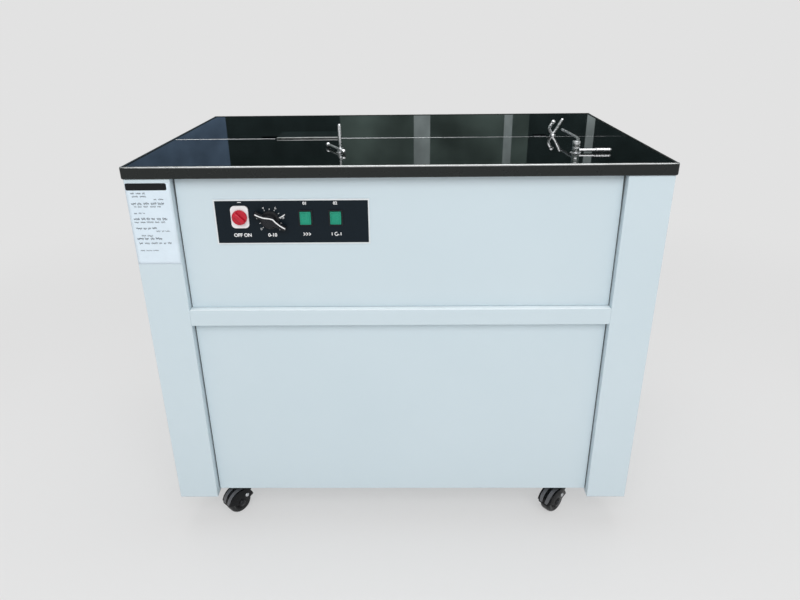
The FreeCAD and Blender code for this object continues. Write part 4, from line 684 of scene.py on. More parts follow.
def timer_knob():
    """The timer knob: a ribbed skirt, a domed cap, two pointer arms and a bent white line along their upper edges,
    which is a painted highlight.
    The cap and the arms end at slightly different depths, so that no faces coincide."""
    dial = pivot("timer_turn")
    face = box("timer_knob")[0].y
    back = box("control_fascia")[0].y - 0.3
    deep = back - face
    place = (dial.x, back, dial.z)
    ribs, skirt_r = 30, 16
    skirt = lathe([(0, 0), (skirt_r * 0.96, 0), (skirt_r, 0.5), (skirt_r, 2.2), (skirt_r * 0.93, 3.2),
                   (skirt_r * 0.7, 3.6), (0, 3.6)], place, (0, -1, 0), 4 * ribs)
    fluted(skirt, dial, skirt_r * 0.9, ribs, 0.03)
    cap_r = 11.2
    cap = lathe([(0, 3), (cap_r, 3), (cap_r * 0.97, deep - 1.4), (cap_r * 0.90, deep - 0.4),
                 (cap_r * 0.8, deep - 0.1), (0, deep - 0.1)], place, (0, -1, 0), 64)
    meshes = [skirt, cap]
    for reach, angle, sunk in ((27.0, 150, 0.0), (29.5, -27, 0.05)):
        arm = rounded_box((-2.4, face + sunk, -4), (reach, back - 3.1, 4), 1.1)
        arm.transform(turned_about((dial.x, 0, dial.z), math.radians(-angle)))
        meshes.append(arm)
    hub = lathe([(0, 0), (3, 0), (3, 13.5), (0, 13.5)], place, (0, 1, 0), 24)
    as_piece("timer_knob_black", joined(meshes + [hub]), "black_plastic", "timer", ("timer_knob",))
    # A white line along the arms' upper edges, painted as their highlight.
    places = ((-22.5, 12.6), (-15.5, 9.0), (-8.8, 6.6), (0, 5.6), (6.6, 4.0), (11.6, -1.6), (18.0, -7.2),
              (26.2, -12.4))
    line = [(dial.x + x, dial.z + z) for x, z in places]
    as_piece("timer_arm_painted_highlight", stroke(line, 1.9, face + 0.1, 0.22), "white_plastic", "timer", look=INK_WHITE)


def push_buttons():
    """Green button caps with a dished face and a raised edge."""
    for node, body in (("feed_button", "feed_key"), ("reset_button", "reset_key")):
        low, high = box(node)
        bm = opened(rounded_box(low, high, 1.0, 3))
        front = max((f for f in bm.faces if f.normal.y < -0.99), key=lambda f: f.calc_area())
        bmesh.ops.inset_region(bm, faces=[front], thickness=1.3, depth=0)
        bmesh.ops.inset_region(bm, faces=[front], thickness=0.6, depth=-0.7)
        as_piece(node + "_cap", finished(bm), "green_plastic", body, (node,), sharp_deg=40)


# Card on the left front post

def post_card():
    """A paper card with a dark band and rows of faint pen marks, on the left front post."""
    post_low = box("corner_post_front_left")[0]
    face = post_low.y - 0.05
    left, right = post_low.x + 0.6, post_low.x + 74.0
    top, bottom = 709.5, 569.0
    rows, columns = 28, 14
    points = []
    for row in range(rows + 1):
        down = row / rows
        points.append([])
        for column in range(columns + 1):
            along = column / columns
            curl = 136 * max(0.0, along - 0.75) ** 2 * max(0.0, down - 0.7) ** 2
            points[-1].append((left + (right - left) * along, face - 0.15 - curl, top + (bottom - top) * down))
    card = as_piece("post_card", finished(sheet(points)), "white_plastic", look=CARD_PAPER)
    solid = card.modifiers.new("thickness", "SOLIDIFY")
    solid.thickness = 0.15 * MM
    solid.offset = -1
    print_y = face - 0.32
    x0, x1, z0, z1, corner = left + 0.8, right - 5.5, top - 12.8, top - 1, 2.6
    x0, x1, z0, z1 = x0 + corner, x1 - corner, z0 + corner, z1 - corner
    outline = []
    for quarter, centre in enumerate(((x1, z1), (x0, z1), (x0, z0), (x1, z0))):
        outline += arc(centre, corner, 90 * quarter, 90 * quarter + 90, 5)
    band = extruded(outline, print_y, print_y + 0.12)
    as_piece("card_band", band, "black_plastic", look=INK_DARK)
    pen = random.Random(7)
    lines = []
    row_places = ((18, 7, 30, 0.5), (23, 9, 34, 0.35), (28, 44, 62, 0.35), (35, 6, 62, 0.75), (40, 10, 52, 0.35),
                  (51, 8, 24, 0.3), (61, 6, 60, 0.85), (66.5, 6, 60, 0.4), (77, 7, 42, 0.7), (82, 40, 64, 0.3),
                  (90, 14, 34, 0.4), (95, 6, 50, 0.85), (103, 8, 64, 0.55), (116, 8, 40, 0.25))
    for down, x0, x1, weight in row_places:
        x, z = left + x0, top - down
        while x < left + x1:
            word_end = min(x + pen.uniform(4, 11), left + x1 + 2)
            points, side = [], 1
            while x < word_end:
                points.append((x, z + side * pen.uniform(0.5, 0.8 + 1.9 * weight)))
                x += pen.uniform(0.7, 1.3)
                side = -side
            if len(points) > 2:
                lines.append(stroke(points, 0.26 + 0.62 * weight, print_y, 0.05))
            x += pen.uniform(1.2, 2.4)
    as_piece("card_marks", joined(lines), "black_plastic", look=INK_GREY)


def dark_joints():
    """Dark strips in the joints between the front posts and the panels and beside the door, which are painted shade
    in those gaps, and a lighter strip on the rail's top face, which is a painted highlight.
    """
    panel_low, panel_high = box("front_upper_panel")
    door_low, door_high = box("front_door")
    face = panel_low.y
    foot, head = panel_low.z + 0.5, 714.5
    # Tapered dark strips down the panel's sides: painted shade in the gaps by the posts.
    strips = []
    for side in (-1, 1):
        outer = side * (panel_high.x - 0.05)
        outline = [(outer, foot), (outer, head), (outer - side * 2.4, head), (outer - side * 1.1, head - 60),
                   (outer - side * 0.7, foot)]
        strips.append(extruded(outline, face - 0.35, face + 0.3))
    as_piece("panel_gap_shade_strips", joined(strips), "belt_rubber", look=GAP_SHADE_GREY)
    # Thin dark strips at the door's sides: painted shade in the gaps.
    door_shade_strips = []
    for side in (-1, 1):
        outer = side * (door_high.x - 0.05)
        outline = [(outer, door_low.z + 1), (outer, door_high.z - 0.5),
                   (outer - side * 1.0, door_high.z - 0.5), (outer - side * 1.0, door_low.z + 1)]
        door_shade_strips.append(extruded(outline, door_low.y - 0.3, door_low.y + 0.3))
    as_piece("door_gap_shade_strips", joined(door_shade_strips), "belt_rubber", "door", look=GAP_SHADE_GREY)
    # A lighter-painted strip over the rail's top face: a painted highlight where the top catches light.
    rail_low, rail_high = box("front_rail")
    inset = 0.6
    painted_highlight_lip = rounded_box((rail_low.x + inset, rail_low.y + inset, rail_high.z - inset),
                      (rail_high.x - inset, panel_low.y - inset, rail_high.z + 0.3), 0.2, 2)
    as_piece("rail_top_painted_highlight_strip", painted_highlight_lip, "cabinet_paint", look=PAINTED_HIGHLIGHT_PAINT)


# Chrome guides on the worktop

FORK_WIRE_R = 2.8

def strap_fork():
    """The two-pronged fork: a curled prong with a ball and a straight one, on a small foot."""
    low, high = box("strap_fork")
    top = box("table_plate_front")[1].z
    x, y = low.x + 8.8, (low.y + high.y) / 2
    foot = lathe([(0, 0), (6.0, 0), (6.0, 0.4), (5.4, 0.8), (3.6, 1.1), (3.0, 2.4), (0, 2.8)], (x, y, top))
    root = Vector((x, y, top + 2.2))
    curled = ((0, 0), (-3.6, 2.2), (-7.4, 7.2), (-7.6, 13.0), (-4.4, 18.4), (-1.0, 23.0))
    straight = ((0, 0), (3.9, 5.2), (9.6, 15.4), (16.0, 27.0))
    left, right = [[root + Vector((a, 0, b)) for a, b in way] for way in (curled, straight)]
    meshes = [foot, tube(left, FORK_WIRE_R), tube(right, FORK_WIRE_R), ball(left[-1], 4.0),
              ball(right[-1], FORK_WIRE_R), ball(root, FORK_WIRE_R)]
    as_piece("strap_fork_chrome", joined(meshes), "chrome", "root", ("strap_fork",))


def guide_posts():
    """The lever's foot and pin, and the upright pin."""
    top = box("table_plate_front")[1].z
    lever = pivot("lever_swing")
    pin = pivot("finger_swing")
    foot = lathe([(0, 0), (9.5, 0), (9.5, 0.35), (9.1, 0.6), (3, 0.6),
                  (3, 19.4), (2.4, 20.2), (0, 20.4)], (lever.x, lever.y, top))
    upright = lathe([(0, 0), (7, 0), (7, 0.35), (6.6, 0.6), (2.6, 0.6),
                     (2.6, 45.6), (2.3, 47.6), (1.4, 48.7), (0, 49)],
                    (pin.x, pin.y, top))
    as_piece("guide_posts_chrome", joined([foot, upright]), "chrome", "root", ("guide_posts",))


def bored_hub(radius, bore, bottom, tall, place):
    """A collar with rounded edges and a groove round its middle, bored for its pin."""
    edge, groove = 0.9, 0.15
    loop = [(bore, 0), (radius - edge, 0), (radius - 0.25 * edge, 0.25 * edge), (radius, edge),
            (radius, tall * 0.42), (radius - groove, tall * 0.46), (radius - groove, tall * 0.54),
            (radius, tall * 0.58), (radius, tall - edge), (radius - 0.25 * edge, tall - 0.25 * edge),
            (radius - edge, tall), (bore, tall)]
    return revolved(loop, (place.x, place.y, bottom))


def guide_lever():
    """The lever: hub, low bar with its grip, and the long bowed arm."""
    centre = pivot("lever_swing")
    low, high = box("guide_lever")
    hub = bored_hub(6.5, 3.1, low.z, 19, centre)
    bar_z = low.z + 3.2
    reach = high.x - centre.x
    grip = [(0, 0), (2.4, 0), (2.4, reach - 29.5), (3.2, reach - 28.6)]
    for step in range(9):
        start = reach - (27.8 - 2.5 * step)
        grip += [(3.1, start), (3.1, start + 1.5), (2.9, start + 1.8), (2.9, start + 2.1)]
    grip += [(3.1, reach - 4.2), (2.9, reach - 1.8), (1.9, reach - 0.5), (0, reach)]
    bar = lathe(grip, (centre.x, centre.y, bar_z), (1, 0, 0), 32)
    root = Vector((centre.x, centre.y, low.z + 16.6))
    path = ((0, 0, 0), (4.0, 11, 0.5), (8.6, 22, 0.9), (9.6, 36, 1), (8.4, 60, 1), (5.8, 92, 1), (3, 126, 1))
    arm = [root + Vector(p) for p in path]
    meshes = [hub, bar, tube(arm, 2.4, steps=12), ball(arm[-1], 2.45)]
    as_piece("guide_lever_chrome", joined(meshes), "chrome", "lever", ("guide_lever",))


def guide_finger():
    """The small double-ended finger on the upright pin."""
    centre = pivot("finger_swing")
    foot = box("table_plate_front")[1].z + 0.9
    hub = bored_hub(5.2, 2.7, foot, 7.2, centre)
    middle = Vector((centre.x, centre.y, foot + 3.6))
    meshes = [hub]
    for x, y in ((7, -16), (-27, 50)):
        tip = middle + Vector((x, y, 0))
        start = middle + (tip - middle).normalized() * 4
        half = (start + tip) / 2 + Vector((0.5, 0, 0.2))
        meshes += [tube([start, half, tip], 2.3), ball(tip, 4.0)]
    as_piece("guide_finger_chrome", joined(meshes), "chrome", "finger", ("guide_finger",))


# Screws

def pan_head(place, axis, radius, tall, shank):
    """A pan-head screw with a cross recess. place is the middle of the head's underside."""
    profile = [(0, -shank), (radius * 0.50, -shank), (radius * 0.55, -shank * 0.9), (radius * 0.55, 0), (radius, 0),
               (radius, tall * 0.35), (radius * 0.93, tall * 0.68), (radius * 0.72, tall * 0.92),
               (radius * 0.34, tall), (0, tall)]
    bm = opened(lathe(profile, (0, 0, 0), steps=32))
    half, arm, floor = radius * 0.11, radius * 0.58, tall * 0.99
    corners = ((half, arm), (half, half), (arm, half), (arm, -half), (half, -half), (half, -arm),
               (-half, -arm), (-half, -half), (-arm, -half), (-arm, half), (-half, half), (-half, arm))
    top = [bm.verts.new((x, y, tall * 1.02)) for x, y in corners]
    low = [bm.verts.new((x * 0.7, y * 0.7, floor)) for x, y in corners]
    for index in range(len(corners)):
        after = (index + 1) % len(corners)
        bm.faces.new((top[index], low[index], low[after], top[after]))
    bm.faces.new(low)
    bm.transform(facing(place, axis))
    return finished(bm)


CASTER_SCREWS_UNDER = 100

def screw_heads():
    """Fresh screws for the cabinet's panels and the casters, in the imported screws' places."""
    bm = bmesh.new()
    bm.from_mesh(NODES["cabinet_screws"].data)
    bmesh.ops.remove_doubles(bm, verts=bm.verts, dist=0.001 * MM)
    bm.verts.index_update()
    boxes = []
    seen = set()
    for start in bm.verts:
        if start.index in seen:
            continue
        group, queue = [], [start]
        seen.add(start.index)
        while queue:
            vertex = queue.pop()
            group.append(vertex.co / MM)
            for edge in vertex.link_edges:
                other = edge.other_vert(vertex)
                if other.index not in seen:
                    seen.add(other.index)
                    queue.append(other)
        boxes.append(tuple(Vector([pick(c[i] for c in group) for i in range(3)]) for pick in (min, max)))
    bm.free()
    meshes = []
    for low, high in boxes:
        size, middle = high - low, (low + high) / 2
        below = middle.z < CASTER_SCREWS_UNDER
        along = 2 if below else max(range(3), key=lambda i: size[i])
        tall = 3.5 if below else 2.5
        side = -1 if below else math.copysign(1, middle[along])
        axis = Vector((0, 0, 0))
        axis[along] = side
        place = middle.copy()
        place[along] = (high if side > 0 else low)[along] - side * tall
        meshes.append(pan_head(place, axis, 4.5, tall, size[along] - tall))
    as_piece("screw_heads", joined(meshes), "zinc_steel", "root", ("cabinet_screws",), sharp_deg=30)


# Casters

WHEEL_RADIUS = 25
HOOD_R = 29.2
HOOD_HALF = 15.1
CHEEK = 2.5
CUP_LOOP = ((4.2, 64.4), (18.6, 64.4), (20.6, 65.0), (21.0, 66.0), (21.0, 67.3), (20.2, 67.7), (20.2, 68.2),
            (21.0, 68.6), (21.0, 69.8), (20.3, 70.9), (18.9, 71.4), (4.2, 71.4))

def caster_frame(name):
    """The transform from a caster's own frame, trailing along +X from the swivel, to its place, and the trail."""
    swivel = pivot(f"swivel_{name}")
    axle = pivot(f"roll_{name}")
    trail = axle - swivel
    turn = math.atan2(trail.y, trail.x)
    place = Matrix.Translation((swivel.x, swivel.y, 0)) @ Matrix.Rotation(turn, 4, "Z")
    return place, Vector((trail.x, trail.y)).length


def caster_fork_mesh(axle_x):
    """The moulded fork: a bearing cup, two cheeks and the neck between them."""
    meshes = [revolved(CUP_LOOP, (0, 0, 0), steps=56)]
    axle = (axle_x, WHEEL_RADIUS)
    crown = [(10.6, 60), (11.5, 64.8), (-13, 64.8), (-11.0, 60)]
    outline = arc(axle, HOOD_R, 14, 101, 18) + crown + arc(axle, HOOD_R, 140, 166, 8)
    outline += arc(axle, 8.6, 196, 344, 14)
    for side in (-1, 1):
        y0, y1 = sorted((side * HOOD_HALF, side * (HOOD_HALF - CHEEK)))
        meshes.append(extruded(outline, y0, y1, 0.8))
        boss = [(4.2, 0), (9.4, 0), (9.2, 0.7), (8.4, 1.0), (4.2, 1.0)]
        meshes.append(revolved(boss, (axle_x, side * HOOD_HALF, WHEEL_RADIUS), (0, side, 0), 40))
    neck_half = HOOD_HALF - 1
    meshes.append(rounded_box((-10, -neck_half, 52.5), (13, neck_half, 65), 1.2))
    return joined(meshes)


def arched(axle_x, section, start, end, steps=48):
    """A closed (radius, y) section carried along an arc over the wheel, which narrows at both ends."""
    bm = bmesh.new()
    rings = []
    for step in range(steps + 1):
        turn = math.radians(start + (end - start) * step / steps)
        way = Vector((math.cos(turn), 0, math.sin(turn)))
        inward = min(step, steps - step) / steps
        share = 0.72 + 0.28 * min(1.0, 6 * inward + 0.35)
        place = Vector((axle_x, 0, WHEEL_RADIUS))
        rings.append([bm.verts.new(place + way * radius + Vector((0, y * share, 0))) for radius, y in section])
    skin(bm, rings)
    for end in (rings[0], rings[-1]):
        bm.faces.new(end)
    return finished(bm)


def caster_hood_mesh(axle_x):
    """The arched hood over the wheel, tapered and rounded at both ends."""
    half = [(HOOD_R - 2.4, 0.94), (HOOD_R - 1.5, 1.0), (HOOD_R - 0.5, 0.95),
            (HOOD_R + 0.1, 0.80), (HOOD_R + 0.3, 0.45)]
    return arched(axle_x, mirrored([(r, share * HOOD_HALF) for r, share in half]), 6, 174)


def caster_hood_strips(axle_x):
    """Two lighter grey satin strips along the hood, one on each half, which are a painted highlight."""
    strips = []
    for side in (-1, 1):
        section = [(HOOD_R - 0.3, side * 3.2), (HOOD_R + 0.55, side * 3.6),
                   (HOOD_R + 0.6, side * 7.0), (HOOD_R + 0.5, side * 11.0),
                   (HOOD_R - 0.3, side * 11.6)]
        strips.append(arched(axle_x, section, 12, 168))
    return joined(strips)


def caster_rivets(axle_x):
    """The two bright rivets at the front of the cheeks."""
    head = [(0, -0.4), (4.2, -0.4), (4.2, 0.5), (3.7, 1.2), (2.3, 1.8), (0, 2.0)]
    place = Vector((axle_x - 13.0, 0, WHEEL_RADIUS + 12.5))
    return joined([lathe(head, place + Vector((0, side * HOOD_HALF, 0)), (0, side, 0), 32) for side in (-1, 1)])


def caster_wheel_meshes(axle_x):
    """The rounded tyre and the ribbed, dished hub."""
    place, way = (axle_x, 0, WHEEL_RADIUS), (0, 1, 0)
    tyre = [(15.8, 10.2), (18.0, 11.4), (20.2, 11.9), (22.0, 11.3), (23.4, 9.9), (24.4, 7.9), (24.9, 5.6),
            (25.0, 3.2), (25.0, 1.6), (24.7, 1.3), (24.7, 0.5)]
    core = [(4.15, 11.9), (6.9, 11.9), (7.6, 11.3), (8.2, 8.8), (12.6, 8.6), (13.6, 9.6), (15.0, 10.2),
            (16.4, 10.2)]
    parts = [revolved(mirrored(core), place, way, 56)]
    for spoke in range(6):
        rib = rounded_box((7, -9.6, -0.9), (14.4, 9.8, 0.9), 0.3, 1)
        rib.transform(turned_about(place, math.pi / 3 * spoke))
        parts.append(rib)
    return revolved(mirrored(tyre), place, way, 72), joined(parts)


def casters():
    """All pieces of the four casters. The pin of the axle shows as a flat head on each side."""
    pin = mirrored([(0, 18.0), (2.2, 18.0), (5.2, 17.6), (6.3, 16.7), (6.5, 16.3), (4.0, 16.2)])
    for name in ("front_left", "front_right", "rear_left", "rear_right"):
        place, axle_x = caster_frame(name)
        tyre, hub = caster_wheel_meshes(axle_x)
        axle = lathe(pin, (axle_x, 0, WHEEL_RADIUS), (0, 1, 0), 32)
        for kind, mesh, slot, body, node, look, sharp in (
                ("body", caster_fork_mesh(axle_x), "caster_plastic", "caster", "fork", None, 40),
                ("hood", caster_hood_mesh(axle_x), "caster_plastic", "caster", "", None, 40),
                # The hood's grey strips are a painted highlight.
                ("strips", caster_hood_strips(axle_x), "caster_plastic", "caster", "", CASTER_HIGHLIGHT_GREY, 40),
                ("rivets", caster_rivets(axle_x), "zinc_steel", "caster", "", None, 35),
                ("axle", axle, "black_plastic", "caster", "", None, 35),
                ("tyre", tyre, "caster_tread", "wheel", "wheel", None, 40),
                ("hub", hub, "caster_plastic", "wheel", "", None, 40)):
            mesh.transform(place)
            replaced = (f"caster_{node}_{name}",) if node else ()
            as_piece(f"caster_{kind}_{name}", mesh, slot, f"{body}_{name}", replaced, look, sharp)


# Back of the cabinet

def louvre_hoods():
    """A pressed hood over each louvre in the back panel."""
    face = box("rear_panel")[1].y
    meshes = [louvre_hood(middle, 180 + 18 * row, face) for row in range(8) for middle in (-110, 110)]
    as_piece("louvre_hoods", joined(meshes), "cabinet_paint", sharp_deg=50)


def louvre_hood(middle, foot, face):
    """One hood: a bent sheet that is closed at its ends and open along its foot."""
    half, tall, bulge = 67, 9.5, 4.2
    across, along = 8, 24
    points = []
    for row in range(across + 1):
        up = row / across
        points.append([])
        for column in range(along + 1):
            side = 2 * column / along - 1
            out = bulge * (1 - abs(side) ** 7) ** 0.5 * math.cos(up * math.pi / 2) ** 0.8
            points[-1].append((middle + side * half, face + out, foot - 0.5 + tall * up))
    bm = sheet(points)
    faces = bm.faces[:]
    bmesh.ops.recalc_face_normals(bm, faces=faces)
    bmesh.ops.solidify(bm, geom=faces, thickness=0.9)
    return finished(bm)


def gland():
    """The empty cable gland: a hexagonal base, a ribbed dome nut and its rubber insert."""
    low, high = box("cable_gland")
    centre = (low + high) / 2
    panel = box("rear_panel")[1].y
    radius = (high.x - low.x) / 2
    reach = high.y - panel
    place = (centre.x, panel, centre.z)
    bore = 5
    base = revolved([(bore, 0), (radius, 0), (radius, 3.6), (radius * 0.93, 4.4), (bore, 4.4)], place, (0, 1, 0), 6)
    ribs = 16
    dome = [(bore, 4.2), (radius * 0.90, 4.2), (radius * 0.94, 5.2), (radius * 0.94, 10.5),
            (radius * 0.86, 12.8), (radius * 0.70, 14.4), (radius * 0.58, reach), (bore, reach)]
    nut = revolved(dome, place, (0, 1, 0), 4 * ribs)
    fluted(nut, centre, radius * 0.84, ribs, 0.05)
    inside = revolved([(bore, 0), (8, 0), (8, low.y - panel), (bore, low.y - panel)], place, (0, 1, 0), 32)
    lock = revolved([(8, 0), (radius, 0), (radius, 5), (8, 5)], (centre.x, panel - 1.5, centre.z), (0, -1, 0), 6)
    as_piece("gland_black", joined([base, nut, inside, lock]), "black_plastic", "root", ("cable_gland",))


# Inside

def main_motor():
    """The main motor: a finned barrel with a grilled cowl, a foot, bolts and a terminal box."""
    low, high = box("main_motor")
    radius = (high.x - low.x) / 2
    x, z = (low.x + high.x) / 2, low.z + radius
    barrel = lathe([(0, 0), (radius * 0.50, 0), (radius * 0.55, 3), (radius * 0.90, 5), (radius * 0.93, 8),
                    (radius * 0.93, 30), (radius * 0.88, 34), (radius * 0.88, 150),
                    (radius, 152), (radius, 184), (radius * 0.96, 188), (radius * 0.86, 190),
                    (0, 190)], (x, high.y, z), (0, -1, 0), 72)
    meshes = [barrel]
    fins = 36
    for fin in range(fins):
        turn = 2 * math.pi * fin / fins
        blade = rounded_box((radius * 0.86, -58, -0.9), (radius * 0.995, 58, 0.9), 0.5, 1)
        blade.transform(turned_about((x, high.y - 92, z), turn))
        meshes.append(blade)
    for bolt in range(4):
        turn = math.pi / 4 + math.pi / 2 * bolt
        place = (x + radius * 0.80 * math.cos(turn), high.y - 4.5, z + radius * 0.80 * math.sin(turn))
        meshes.append(lathe([(0, 0), (4, 0), (4, 3.4), (3.4, 4), (0, 4)], place, (0, 1, 0), 6))
    meshes.append(rounded_box((x - 45, low.y + 32, z + 20), (x + 45, high.y - 32, high.z), 4))
    chest = rounded_box((-26, -30, -9), (26, 30, 9), 3, 3)
    lid = rounded_box((-27.5, -31.5, -11.5), (27.5, 31.5, -8), 1.2, 2)
    for mesh in (chest, lid):
        mesh.transform(turned_about((x, high.y - 95, z), math.radians(35)) @ Matrix.Translation((0, 0, -radius)))
        meshes.append(mesh)
    as_piece("main_motor_cast", joined(meshes), "motor_paint", "root", ("main_motor",))
    grille = []
    front = low.y - 0.2
    for ring_index in range(5):
        r = radius * (0.18 + 0.15 * ring_index)
        loop = [(x + r * math.cos(t * math.pi / 24), front, z + r * math.sin(t * math.pi / 24)) for t in range(48)]
        grille.append(tube(loop, 1.0, False, True, 2))
    for spoke in range(8):
        turn = math.pi / 4 * spoke + math.pi / 8
        ends = [(x + radius * s * math.cos(turn), front, z + radius * s * math.sin(turn)) for s in (0.18, 0.80)]
        grille.append(tube(ends, 1.1, False, False, 2))
    as_piece("main_motor_grille", joined(grille), "zinc_steel")


def reel_details():
    """Stiffening ribs on the reel's front flange and lobes on its hand nut."""
    pos = pivot("reel_spin")
    flange_face = -146
    ribs = []
    for rib in range(12):
        bar = rounded_box((34, -1.4, -2.2), (134, 1.0, 2.2), 0.8, 2)
        outer = rounded_box((150, -1.4, -2.2), (174, 1.0, 2.2), 0.8, 2)
        for piece in (bar, outer):
            piece.transform(turned_about((pos.x, flange_face, pos.z), math.pi / 6 * rib))
            ribs.append(piece)
    rims = []
    for r in (30, 136, 176):
        rims.append(revolved([(r - 1.8, -0.5), (r - 1.4, 1.2), (r + 1.4, 1.2),
                              (r + 1.8, -0.5)], (pos.x, flange_face, pos.z), (0, -1, 0), 96))
    as_piece("reel_front_ribs", joined(ribs + rims), "reel_plastic", "reel")
    lobes = []
    for lobe in range(6):
        turn = math.pi / 3 * lobe
        place = (pos.x + 20.5 * math.cos(turn), -165.6, pos.z + 20.5 * math.sin(turn))
        lobes.append(lathe([(0, 0), (5.2, 0), (6, 1), (6, 16), (5.2, 17.4), (0, 17.4)], place, (0, 1, 0), 24))
    as_piece("reel_nut_lobes", joined(lobes), "black_plastic", "reel")


def control_box_details():
    """Screws, latch and vents on the electrical box."""
    low, high = box("control_box")
    face = low.y
    meshes = []
    for x in (low.x + 9, high.x - 9):
        for z in (low.z + 9, high.z - 9):
            meshes.append(pan_head((x, face, z), (0, -1, 0), 4, 2.2, 1))
    latch = lathe([(0, 0), (11, 0), (11, 1.4), (9.6, 2.4), (3, 2.6), (0, 2.6)],
                  (high.x - 18, face, (low.z + high.z) / 2), (0, -1, 0), 40)
    bar = rounded_box((high.x - 26, face - 6, (low.z + high.z) / 2 - 2.5),
                      (high.x - 10, face - 2.2, (low.z + high.z) / 2 + 2.5), 1.2)
    as_piece("control_box_screws", joined(meshes + [latch, bar]), "zinc_steel")
    ribs = []
    for row in range(7):
        z = high.z - (38 + 7 * row)
        ribs.append(rounded_box((low.x + 42, face - 1.6, z), (high.x - 60, face + 0.6, z + 3), 0.9, 2))
    as_piece("control_box_vents", joined(ribs), "box_paint")


# Stage

def stage_object(name, mesh, material, diffuse=True, camera=True):
    mesh.materials.append(material)
    made = bpy.data.objects.new(name, mesh)
    bpy.context.scene.collection.objects.link(made)
    made.visible_diffuse = diffuse
    made.visible_shadow = diffuse
    made.visible_camera = camera
    return made


def floor_material():
    """Pale grey that keeps shadows near the object and goes flat grey further out."""
    tree = Tree("stage_floor")
    diffuse = tree.node("ShaderNodeBsdfDiffuse", {"Color": (*STAGE_GREY, 1)}).outputs[0]
    glow = tree.node("ShaderNodeEmission", {"Color": (*STAGE_GREY, 1)}).outputs[0]
    away = tree.node("ShaderNodeVectorMath", {0: tree.place}, operation="LENGTH").outputs["Value"]
    rays = tree.node("ShaderNodeLightPath").outputs
    seen = tree.math("MAXIMUM", rays["Is Camera Ray"], rays["Is Glossy Ray"])
    seen = tree.math("MAXIMUM", seen, rays["Is Transmission Ray"])
    share = tree.math("MULTIPLY", seen, tree.spread(away, *FLOOR_FADE, FLOOR_GLOW, 1.0))
    return tree.finish(tree.node("ShaderNodeMixShader", {0: share, 1: diffuse, 2: glow}).outputs[0])


def glowing(tree, colour, scale=0.0, detail=0.0, swing=0.0):
    """An emission of a colour or socket. Its strength may swing by a share from place to place."""
    strength = 1.0
    if swing:
        strength = tree.spread(tree.noise(scale, detail), 0.3, 0.7, 1 - swing, 1 + swing, "LINEAR")
    return tree.finish(tree.node("ShaderNodeEmission", {"Color": colour, "Strength": strength}).outputs[0])


def ring_material():
    """Dark, slightly uneven surroundings that only reflections see."""
    return glowing(Tree("stage_surroundings"), (*ROOM_WALL, 1), 2.6, 4.0, 0.45)


# Things in the room that the worktop mirrors: x range and colour, all on one wall.
# A plain room in four plain colours. Each card hangs a little in front of the one before it.
ROOM_WALL_Y = 2.75
CARD_STEP = 0.002
ROOM_WALL = (0.08, 0.11, 0.10)
ROOM_NAVY = (0.10, 0.15, 0.22)
ROOM_DARK = (0.02, 0.03, 0.03)
ROOM_PALE = (0.30, 0.35, 0.35)
ROOM_LOW, ROOM_HIGH = 0.9, 1.6
ROOM_CARDS = (
    ((-2.0, -1.1), ROOM_NAVY),
    ((-1.1, -0.4), ROOM_DARK),
    ((0.05, 0.15), ROOM_PALE),
    ((0.6, 0.65), ROOM_PALE),
    ((0.75, 2.0), ROOM_DARK),
    ((1.1, 1.15), ROOM_PALE),
)


def build_stage():
    """The floor with its backdrop, and what only reflections see: a ring and the cards of a room."""
    bm, rings = spun([(FLOOR_RADIUS, 0)], 96)
    bm.faces.new(rings[0])
    stage_object("stage_floor", finished(bm), floor_material())
    cove = [(FLOOR_RADIUS, 0)]
    for step in range(1, 13):
        turn = math.pi / 2 * step / 12
        cove.append((FLOOR_RADIUS + COVE_RADIUS * math.sin(turn), COVE_RADIUS * (1 - math.cos(turn))))
    cove.append((FLOOR_RADIUS + COVE_RADIUS, COVE_TOP))
    backdrop = glowing(Tree("stage_backdrop"), (*STAGE_GREY, 1))
    stage_object("stage_backdrop", round_sheet(cove, 96), backdrop, diffuse=False)
    ring = round_sheet([(RING_RADIUS, RING_LOW), (RING_RADIUS, RING_HIGH)], 128)
    stage_object("stage_surroundings", ring, ring_material(), diffuse=False, camera=False)
    for number, ((x0, x1), colour) in enumerate(ROOM_CARDS):
        z0, z1 = ROOM_LOW, ROOM_HIGH
        name = f"stage_room_{number:02d}"
        near = ROOM_WALL_Y - CARD_STEP * number
        card = bpy.data.meshes.new(name)
        card.from_pydata([(x0, near, z0), (x1, near, z0), (x1, near, z1), (x0, near, z1)], [], [(0, 1, 2, 3)])
        material = glowing(Tree(name), (*colour, 1), 9.0, 5.0, 0.22)
        stage_object(name, card, material, diffuse=False, camera=False)


def round_sheet(profile, steps):
    """A turned sheet with open ends."""
    bm, rings = spun(profile, steps)
    skin(bm, rings)
    made = finished(bm)
    made.shade_smooth()
    return made


def area_lamp(name, place, aim, size, watts):
    lamp = bpy.data.lights.new(name, "AREA")
    lamp.shape = "RECTANGLE"
    lamp.size, lamp.size_y = size
    lamp.energy = watts
    holder = bpy.data.objects.new(name, lamp)
    holder.location = place
    holder.rotation_mode = "QUATERNION"
    holder.rotation_quaternion = (Vector(aim) - Vector(place)).to_track_quat("-Z", "Y")
    bpy.context.scene.collection.objects.link(holder)
    return holder


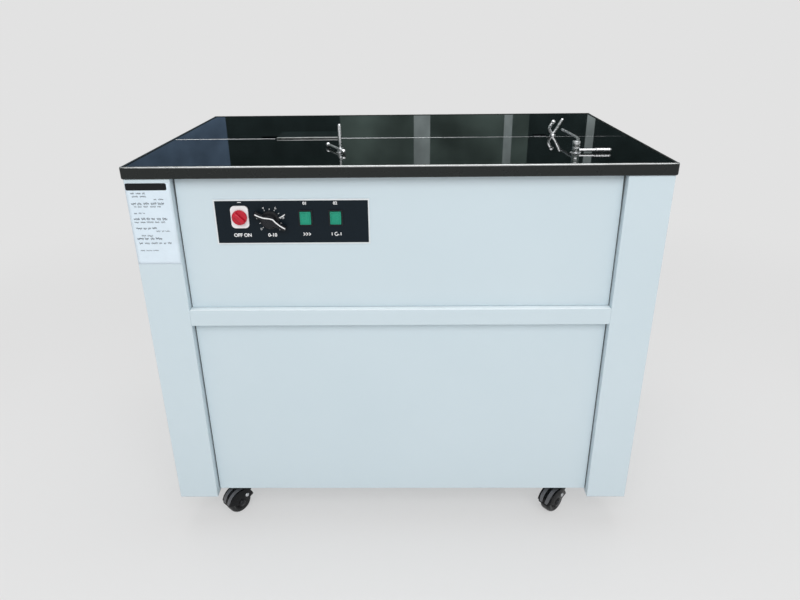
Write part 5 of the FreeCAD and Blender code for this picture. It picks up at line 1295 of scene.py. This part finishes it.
def build_lights():
    world = bpy.data.worlds.new("stage_world")
    bpy.context.scene.world = world
    world.use_nodes = True
    background = world.node_tree.nodes["Background"]
    background.inputs["Color"].default_value = (1, 1, 1, 1)
    background.inputs["Strength"].default_value = WORLD_STRENGTH
    area_lamp("key", (0.15, -2.6, 2.5), (0, 0, 0.45), (3.4, 1.6), 56)
    area_lamp("overhead", (0.0, 0.2, 2.8), (0, 0, 0.6), (2.4, 1.2), 24)


def build_camera():
    pitch, yaw, roll = CAMERA_PITCH_DOWN, CAMERA_YAW, CAMERA_ROLL
    level = Vector((math.cos(yaw), math.sin(yaw), 0))
    ahead = Vector((-math.sin(yaw) * math.cos(pitch), math.cos(yaw) * math.cos(pitch), -math.sin(pitch)))
    upward = level.cross(ahead)
    right = math.cos(roll) * level + math.sin(roll) * upward
    up = -math.sin(roll) * level + math.cos(roll) * upward
    turn = Matrix((right, up, -ahead)).transposed().to_4x4()
    data = bpy.data.cameras.new("camera")
    data.lens = CAMERA_LENS
    data.sensor_width = CAMERA_SENSOR
    data.clip_start, data.clip_end = 0.01, 100
    camera = bpy.data.objects.new("camera", data)
    camera.matrix_world = Matrix.Translation(CAMERA_PLACE) @ turn
    bpy.context.scene.collection.objects.link(camera)
    bpy.context.scene.camera = camera


SOFT_EDGES = (
    ("control_fascia", 0.3), ("switch_plate", 0.5), ("front_rail", 0.6), ("slide_plate", 0.3),
    ("gearbox", 1.5), ("head_frame", 0.6), ("gripper_block", 0.5), ("head_shelf", 0.6),
    ("reel_stand", 0.8), ("control_box", 0.5), ("caster_plates", 0.4), ("feed_motor", 0.8),
    ("base_tray", 0.4), ("table_frame", 0.3), ("corner_post_front_left", 1.0),
    ("corner_post_front_right", 1.0), ("corner_post_rear_left", 1.0), ("corner_post_rear_right", 1.0),
    ("front_door", 0.6),
)

build_camera()
build_stage()
build_lights()
dress_nodes()
worktop_trim()
fascia_print()
power_knob()
timer_knob()
push_buttons()
post_card()
strap_fork()
guide_posts()
guide_lever()
guide_finger()
dark_joints()
screw_heads()
casters()
louvre_hoods()
gland()
main_motor()
reel_details()
control_box_details()
for node, width in SOFT_EDGES:
    soften(node, width)

bpy.context.scene.view_settings.view_transform = "Standard"
